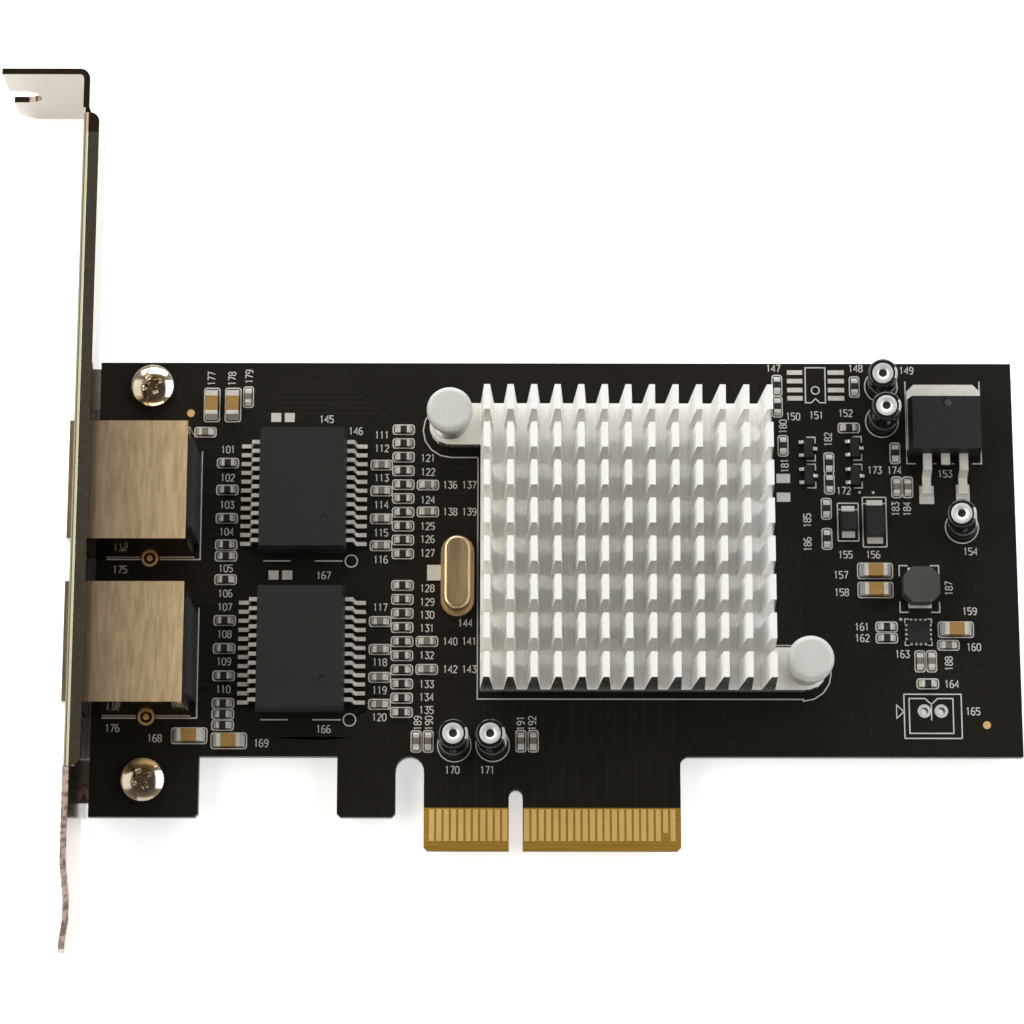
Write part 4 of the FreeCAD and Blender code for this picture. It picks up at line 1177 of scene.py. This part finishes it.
@dataclass
class Legend:
    """The white print on the board: outlines, rings, marks and plain numbers."""

    line: float = 0.17
    z: float = 0.018
    shape: Shape = field(default_factory=Shape)
    chip_margin: float = 0.231
    chip_corner: float = 0.35
    mark_inset: float = 4.9
    mark_drop: float = 1.25
    can_ring: float = 2.3
    jack_gap: float = 0.16
    jack_runs: tuple[float, ...] = (-57.0, -52.3, -49.6, -43.95)
    coil_gap: float = 0.62
    coil_head_gap: float = 0.6
    coil_foot_runs: tuple[Point, ...] = ((-35.14, -31.36), (-28.01, -24.1))
    coil_head_runs: tuple[Point, ...] = ((-35.14, -31.4), (-28.0, -24.1))
    coil_mark: Point = (-22.9, 0.85)
    sink_gap: float = 0.7
    sink_corner: float = 6.7
    ear_reach: float = 3.9
    regulator_runs: tuple[tuple[Point, ...], ...] = (
        ((54.85, 66.33), (54.85, 54.4), (56.1, 54.4)), ((58.55, 54.4), (59.0, 54.4)),
        ((61.1, 54.4), (61.5, 54.4)), ((64.0, 54.4), (65.3, 54.4), (65.3, 66.33)),
    )
    loose_dots: tuple[Point, ...] = ((48.1, 50.25), (50.0, 50.25))
    notched_box: tuple[Point, ...] = ((40.8, 68.3), (43.6, 68.3), (43.6, 63.2), (42.8, 63.2),
                                      (42.2, 63.8), (41.6, 63.2), (40.8, 63.2))
    notched_ring: tuple[float, float, float] = (42.2, 65.0, 0.55)
    header_box: tuple[float, ...] = (53.55, 15.55, 61.45, 21.7)
    header_runs: tuple[tuple[Point, ...], ...] = (
        ((56.45, 21.1), (54.25, 21.1), (54.25, 16.25), (60.3, 16.25), (60.3, 21.1),
         (58.2, 21.1), (57.3, 20.3), (56.45, 21.1)), ((57.3, 20.3), (57.3, 18.05)),
    )
    header_arrow: tuple[Point, ...] = ((52.5, 20.2), (53.5, 19.25), (52.5, 18.35))
    first_number: int = 101
    figure_stroke: float = 0.14
    figure_height: float = 0.98
    columns: tuple[float, ...] = (-40.35, -18.8, -12.3)
    left_column: tuple[float, ...] = (56.29, 52.24, 48.35, 44.5, 39.28, 35.73, 33.8, 29.99,
                                      26.14, 22.27)
    middle_column: tuple[float, ...] = (58.41, 56.5, 52.24, 48.38, 44.39, 40.56, 33.79, 26.07,
                                        22.16, 18.41)
    right_column: tuple[float, ...] = (55.11, 53.11, 51.25, 49.1, 45.33, 43.48, 41.5, 36.5,
                                       34.57, 32.75, 30.87, 27.06, 23.01, 21.2, 19.4)
    pairs: tuple[Point, ...] = ((-9.19, 51.25), (-6.52, 51.26), (-9.17, 47.4), (-6.5, 47.4),
                                (-9.08, 29.02), (-6.43, 29.03), (-9.06, 25.11), (-6.42, 25.11),
                                (-7.0, 31.6))
    across: tuple[Point, ...] = (
        (-26.59, 60.7), (-22.48, 58.98), (36.33, 68.2), (47.94, 68.2), (55.1, 67.9),
        (39.0, 61.2), (42.29, 61.39), (46.4, 61.69), (60.15, 52.94), (63.37, 41.82),
        (45.94, 41.35), (49.8, 41.36), (45.25, 38.47), (45.3, 36.0), (62.99, 33.35),
        (63.41, 28.29), (48.0, 31.13), (48.0, 29.55), (53.51, 27.3), (60.22, 23.11),
        (63.04, 19.3), (-26.45, 16.73), (-26.72, 38.29), (-49.65, 15.45), (-34.99, 14.78),
        (-8.71, 11.1), (-3.88, 11.1), (45.9, 50.5), (50.3, 53.45), (53.06, 53.43),
        (-55.06, 39.1), (-55.5, 16.85),
    )
    upright: tuple[Point, ...] = (
        (-42.9, 66.6), (-40.0, 66.6), (-37.6, 66.9), (37.55, 59.75), (37.7, 54.1),
        (43.85, 57.9), (53.09, 47.9), (54.69, 47.9), (40.7, 46.25), (40.7, 42.85), (60.2, 36.6),
        (59.9, 26.0), (-13.5, 17.6), (-11.95, 17.6), (0.68, 17.6), (2.25, 17.6),
    )

    def build(self) -> None:
        """Make the print on the component side."""
        self.chip_outlines()
        self.part_outlines()
        self.sink_outline()
        self.power_outlines()
        self.small_outlines()
        self.numbers()
        self.shape.piece("legend_print", "legend_white", slot="solder_mask")
        self.regulator_mark()

    def strips(self, *paths: Sequence[Point], closed: bool = False) -> None:
        """Draw lines along paths, each from its first point or round to it again."""
        for path in paths:
            self.shape.ribbon(path, self.line, self.z, closed)

    def regulator_mark(self) -> None:
        """Lay the round moulding mark on the regulator."""
        body = box_mm("regulator_body")[1]
        mark = Shape()
        mark.spot(body.x - self.mark_inset, body.y - self.mark_drop, 0.5, body.z + 0.004)
        mark.piece("regulator_mark", "bung_rubber", slot="moulding_charcoal")

    def chip_outlines(self) -> None:
        """Draw an outline round each chip resistor and capacitor, and round its two ends."""
        for kind in ("resistor", "small_capacitor", "large_capacitor"):
            caps = solids_of(f"{kind}_ends")
            for body in solids_of(f"{kind}_bodies"):
                near = sorted(caps, key=lambda c: math.hypot(c.middle(0) - body.middle(0),
                                                             c.middle(1) - body.middle(1)))[:2]
                box = [min(c.low(axis) for c in near) - self.chip_margin for axis in (0, 1)]
                box += [max(c.high(axis) for c in near) + self.chip_margin for axis in (0, 1)]
                self.shape.frame(box, self.chip_corner, self.line, self.z)

    def part_outlines(self) -> None:
        """Draw the outlines of the upright capacitors, the jacks and the transformers."""
        for solid in solids_of("capacitor_bungs"):
            self.shape.ring(solid.middle(0), solid.middle(1), self.can_ring, self.line, self.z,
                            sides=56)
        left, notch_left, notch_right, right = self.jack_runs
        for number in (1, 2):
            low, high = box_mm(f"jack_{number}_shield")
            foot = low.y - self.jack_gap
            self.strips(((left, foot), (notch_left, foot)),
                        ((notch_right, foot), (right, foot), (right, high.y - 1.1)))
            low, high = box_mm(f"transformer_{number}_body")
            foot, head = low.y - self.coil_gap, high.y + self.coil_head_gap
            self.strips(*(((x0, foot), (x1, foot)) for x0, x1 in self.coil_foot_runs))
            self.shape.ring(self.coil_mark[0], foot, self.coil_mark[1], self.line, self.z)
            self.strips(*(((x0, head), (x1, head)) for x0, x1 in self.coil_head_runs))

    def sink_outline(self) -> None:
        """Draw the line that runs just outside the heat sink and its ears."""
        pins = solids_of("push_pins")
        left_x, left_y = pins[0].middle(0), pins[0].middle(1)
        right_x, right_y = pins[-1].middle(0), pins[-1].middle(1)
        low, high = box_mm("heat_sink")
        left, right = low.x + self.sink_corner, high.x - self.sink_corner
        foot, head, reach = low.y - self.sink_gap, high.y + self.sink_gap, self.ear_reach
        self.strips(
            [(left, left_y - reach), (left, foot), (right_x, foot)]
            + arc_points(right_x, right_y, reach, -90, 90) + [(right, right_y + reach)],
            [(left, left_y - reach)] + arc_points(left_x, left_y, reach, 270, 90)
            + [(left, left_y + reach)],
            [(right, right_y + reach), (right, head), (left, head)])

    def corners(self, node: str, gaps: tuple[float, float, float],
                arms: tuple[float, float]) -> None:
        """Draw the four corners of a frame round a node.

        Args:
            node: The node's name.
            gaps: How far the frame lies beside, below and above the node.
            arms: Length of the corners' arms across and along.
        """
        low, high = box_mm(node)
        beside, below, above = gaps
        for x, run in ((low.x - beside, arms[0]), (high.x + beside, -arms[0])):
            for y, rise in ((low.y - below, arms[1]), (high.y + above, -arms[1])):
                self.strips([(x + run, y), (x, y), (x, y + rise)])

    def power_outlines(self) -> None:
        """Draw the outlines on the card's right-hand part, also those of the empty places."""
        self.strips(*self.regulator_runs)
        for x, y in self.loose_dots:
            self.shape.spot(x, y, 0.2, self.z, sides=12)
        self.strips(self.notched_box, closed=True)
        self.shape.ring(*self.notched_ring, self.line, self.z, sides=20)
        self.corners("inductor_core", (0.25, 0.9, 0.7), (1.2, 1.5))
        self.corners("converter_chip", (0.35, 0.35, 0.35), (0.6, 0.6))
        low, high = box_mm("converter_chip")
        self.shape.spot(low.x - 0.9, high.y + 0.3, 0.22, self.z)
        self.shape.frame(self.header_box, 0.05, self.line, self.z, steps=1)
        self.strips(*self.header_runs)
        self.strips(self.header_arrow, closed=True)

    def small_outlines(self) -> None:
        """Draw the outlines of the diodes and transistors."""
        for body in solids_of("diode_bodies"):
            box = (body.low(0) - 0.3, body.low(1) - 1.35, body.high(0) + 0.3, body.high(1) + 1.35)
            self.shape.frame(box, 0.1, self.line, self.z, steps=1)
            self.strips([(box[0], box[3] - 0.9), (box[2], box[3] - 0.9)])
        for body in solids_of("transistor_bodies"):
            x, y = body.middle(0), body.middle(1)
            for edge, end in ((body.high(1) + 0.25, y + 0.8), (body.low(1) - 0.25, y - 0.8)):
                self.strips([(x - 0.2, edge), (x + 1.0, edge), (x + 1.0, end)])

    def numbers(self) -> None:
        """Write the plain numbers beside the parts, counted on from the first."""
        writer = Numerals(self.shape, self.figure_stroke, self.figure_height, self.z)
        places: list[tuple[float, float, bool]] = []
        for x, column in zip(self.columns, (self.left_column, self.middle_column,
                                            self.right_column)):
            places += [(x, y, False) for y in column]
        places += [(x, y, False) for x, y in self.pairs + self.across]
        places += [(x, y, True) for x, y in self.upright]
        for number, place in enumerate(places, self.first_number):
            writer.write(number, *place)


@dataclass
class Copper:
    """Traces under the mask, vias, bare pads and rings."""

    z: float = 0.006
    pad_z: float = 0.025
    seed: int = 7
    fine: float = 0.16
    plain: float = 0.18
    wide: float = 0.2
    feed: float = 0.25
    via_grid: float = 0.635
    bare: tuple[tuple[float, ...], ...] = (
        (36.5, 51.6, 38.4, 52.9), (36.5, 48.9, 38.4, 50.2), (56.45, 48.6, 58.5, 51.2),
        (61.6, 48.9, 63.5, 51.4), (-34.4, 60.3, -33.0, 61.6), (-32.5, 60.3, -31.1, 61.6),
        (-34.4, 37.7, -33.0, 39.0), (-32.5, 37.7, -31.1, 39.0),
    )
    header_holes: tuple[Point, ...] = ((56.33, 19.35), (58.67, 19.35))
    jack_rings: tuple[tuple[int, float], ...] = ((1, -50.96), (2, -50.9))
    aiming_marks: tuple[Point, ...] = ((-45.7, 61.55), (64.9, 17.4))
    zones: tuple[tuple[float, ...], ...] = (
        (-36.5, 60.0, -17.0, 67.5), (-14.0, 59.5, -8.0, 67.0), (37.0, 24.0, 44.0, 42.0),
        (44.5, 22.5, 52.0, 28.0), (-9.5, 13.0, 20.5, 20.5), (-33.0, 15.3, -15.0, 17.5),
        (24.0, 14.0, 50.0, 20.5), (-57.0, 36.5, -53.5, 40.8), (60.0, 24.0, 68.5, 48.0),
    )

    def build(self) -> None:
        """Make the traces and the bare metal."""
        self.traces()
        self.pads()
        self.vias()

    def bundle(self, shape: Shape, width: float, count: int,
               path: Callable[[int], Sequence[Point]]) -> None:
        """Lay traces of one width, each along the path that its number gives."""
        for i in range(count):
            shape.ribbon(path(i), width, self.z)

    def traces(self) -> None:
        """Lay the traces on the component side."""
        shape = Shape()
        for number in (1, 2):
            low, high = box_mm(f"transformer_{number}_leads")
            rows = [low.y + 0.3 + (high.y - low.y - 0.6) * i / 11 for i in range(12)]
            self.bundle(shape, self.fine, 12, lambda i: (
                (high.x + 0.2, rows[i]), (-18.0 + i % 3 * 0.5, rows[i])))
            self.bundle(shape, self.wide, 12, lambda i: (
                (low.x - 0.2, rows[i]), (-42.0 - i % 4 * 0.7, rows[i]),
                (-43.4 - i % 4 * 0.7, rows[i] - 0.7)))
            rows = [low.y + 1.5 + i * 1.75 for i in range(8)]
            bends = [y + (1.0 if i % 2 else -1.0) for i, y in enumerate(rows)]
            self.bundle(shape, self.fine, 8, lambda i: (
                (-14.6, rows[i]), (-11.0, rows[i]), (-9.6, bends[i]), (-6.6, bends[i])))
        self.bundle(shape, self.plain, 9, lambda i: (
            (36.2 + 0.42 * i, 24.0 + 0.4 * i), (36.2 + 0.42 * i, 47.0 - 0.5 * i)))
        tongue = [(i, i * 2.0 - 9.5) for i in range(16) if abs(i * 2.0 - 9.5) > 1.3]
        for i, x in tongue:
            shape.ribbon([(x, 6.0), (x, 12.0 + i % 3), (x + 1.2, 13.4 + i % 3), (x + 1.2, 21.0)],
                         self.plain, self.z)
        self.bundle(shape, self.fine, 10, lambda i: (
            (-34.0 + i * 0.7, 15.6 - i * 0.05), (-28.0 + i * 0.7, 15.6),
            (-21.0 + i * 0.5, 19.2 + i * 0.35)))
        self.bundle(shape, self.fine, 7, lambda i: (
            (-34.0, 61.6 + i * 0.75), (-18.0 - i, 61.6 + i * 0.75), (-15.5 - i, 60.0 + i * 0.75)))
        self.bundle(shape, self.feed, 8, lambda i: (
            (54.0 + i * 1.2, 24.2), (54.0 + i * 1.2, 26.0 + i % 3 * 0.8)))
        shape.piece("mask_traces", "mask_over_copper", slot="solder_mask")

    def pads(self) -> None:
        """Lay the bare tinned pads that no part covers, and the gold rings."""
        tinned = Shape()
        for x0, x1 in ((38.23, 40.4), (43.97, 46.27)):
            for y in (67.6, 66.35, 65.05, 63.85):
                tinned.pad((x0, y - 0.33, x1, y + 0.33), self.pad_z)
        for box in self.bare:
            tinned.pad(box, self.pad_z)
        for x, y in self.header_holes:
            tinned.ring(x, y, 0.72, 0.42, self.pad_z)
        tinned.piece("bare_pads", "solder")
        gold = Shape()
        for number, x in self.jack_rings:
            y = box_mm(f"jack_{number}_shield")[0].y
            gold.ring(x, y, 1.0, 0.36, self.pad_z)
            gold.spot(x, y, 0.44, self.pad_z)
        for x, y in self.aiming_marks:
            gold.spot(x, y, 0.55, self.pad_z)
        gold.piece("gold_marks", "bare_copper", slot="gold_plating")

    def vias(self) -> None:
        """Scatter small filled holes where the traces change side."""
        rng = random.Random(self.seed)
        shape = Shape()
        for x0, y0, x1, y1 in self.zones:
            for _ in range(int((x1 - x0) * (y1 - y0) / 9) + 2):
                x = round(rng.uniform(x0, x1) / self.via_grid) * self.via_grid
                y = round(rng.uniform(y0, y1) / self.via_grid) * self.via_grid
                shape.ring(x, y, 0.24, 0.14, self.z + 0.004, sides=14)
        shape.piece("via_rings", "mask_over_copper", slot="solder_mask")


@dataclass
class Studio:
    """Floor, soft lamps, room light and the camera at the picture's viewing angle."""

    camera_place: tuple[float, float, float] = (-1.77, -48.34, 430.0)
    camera_turn: tuple[float, float, float] = (-12.55, 0.16, -0.08)
    focal_pixels: float = 3153.0
    picture: float = 1024.0
    floor_gap: float = 0.06
    floor_rings: tuple[float, ...] = (60.0, 400.0, 2500.0)
    card_middle: tuple[float, float, float] = (0.0, 45.0, 0.0)
    softboxes: tuple[tuple[str, tuple[float, ...], tuple[float, ...], float, Colour], ...] = (
        ("left_softbox", (-450, 110, 380), (640, 400), 2.6, (1.0, 0.97, 0.88)),
        ("right_softbox", (480, 90, 360), (640, 400), 2.3, (0.93, 0.96, 1.0)),
        ("far_softbox", (0, 620, 290), (700, 260), 4.4, (1.0, 1.0, 1.0)),
        ("near_softbox", (0, -540, 280), (600, 200), 0.25, (1.0, 1.0, 1.0)),
    )

    room_power: tuple[float, float] = (0.6, 0.085)
    room_heights: tuple[float, float] = (0.2, 0.85)
    room_tints: tuple[Colour, Colour] = ((1.0, 0.99, 0.97), (1.0, 0.86, 0.62))

    def camera(self) -> None:
        """Set up the camera."""
        lens = bpy.data.cameras.new("picture_camera")
        lens.sensor_fit = "HORIZONTAL"
        lens.sensor_width = 36.0
        lens.lens = self.focal_pixels / self.picture * lens.sensor_width
        lens.clip_start = 0.01
        lens.clip_end = 20.0
        camera = bpy.data.objects.new("picture_camera", lens)
        bpy.context.scene.collection.objects.link(camera)
        a, b, c = (math.radians(t) for t in self.camera_turn)
        turn = Matrix.Rotation(c, 3, "Z") @ Matrix.Rotation(b, 3, "Y") @ Matrix.Rotation(a, 3, "X")
        camera.matrix_world = (Matrix.Translation(Vector(self.camera_place) * MM)
                               @ turn.transposed().to_4x4())
        bpy.context.scene.camera = camera

    def floor(self) -> None:
        """Lay the floor under the card's lowest point."""
        z = CAD_BOX[0][2] / MM - self.floor_gap
        shape = Shape()
        loops = [[(x, y, z) for x, y in arc_points(0.0, 47.0, radius, steps=64)]
                 for radius in self.floor_rings]
        shape.skin(loops)
        shape.flat(loops[0])
        mesh = bpy.data.meshes.new("studio_floor")
        shape.work.to_mesh(mesh)
        shape.work.free()
        floor = bpy.data.objects.new("studio_floor", mesh)
        bpy.context.scene.collection.objects.link(floor)
        mesh.materials.append(FINISHES["studio_floor"].material())

    def lamp(self, name: str, place: Sequence[float], size: Sequence[float],
             power: float, tint: Colour) -> None:
        """Hang one soft lamp that faces the card's middle.

        Args:
            name: Its name.
            place: Its place in millimetres.
            size: Its width and height in millimetres.
            power: Its power in watts.
            tint: Its colour.
        """
        light = bpy.data.lights.new(name, "AREA")
        light.shape = "RECTANGLE"
        light.size, light.size_y = size[0] * MM, size[1] * MM
        light.energy = power
        light.color = tint
        lamp = bpy.data.objects.new(name, light)
        bpy.context.scene.collection.objects.link(lamp)
        aim = Vector(self.card_middle) - Vector(place)
        lamp.matrix_world = (Matrix.Translation(Vector(place) * MM)
                             @ aim.to_track_quat("-Z", "Y").to_matrix().to_4x4())

    def world(self) -> None:
        """Light the room: pale round the card, dimmer and warmer overhead."""
        world = bpy.data.worlds.new("studio_room")
        bpy.context.scene.world = world
        world.use_nodes = True
        bench = NodeBench(world.node_tree, "Generated")
        height = bench.along("Z")
        back = world.node_tree.nodes["Background"].inputs
        bench.fill(back["Color"], bench.mix(height, *self.room_tints))
        bench.fill(back["Strength"], bench.span(height, *self.room_power, *self.room_heights))

    def build(self) -> None:
        """Set up camera, floor, lamps and room."""
        self.camera()
        self.floor()
        for softbox in self.softboxes:
            self.lamp(*softbox)
        self.world()
        bpy.context.scene.view_settings.view_transform = "Standard"


def main() -> None:
    """Dress the card's frame, build its detailed pieces and set up the studio."""
    logging.basicConfig(level=logging.INFO, format="%(message)s")
    FrameDress().dress()
    for maker in (BracketScrews(), PushPins(), UprightCapacitors(), CrystalCan(), Copper(),
                  Legend(), Studio()):
        maker.build()
        log.info("%s built", type(maker).__name__)


if __name__ == "__main__":
    main()
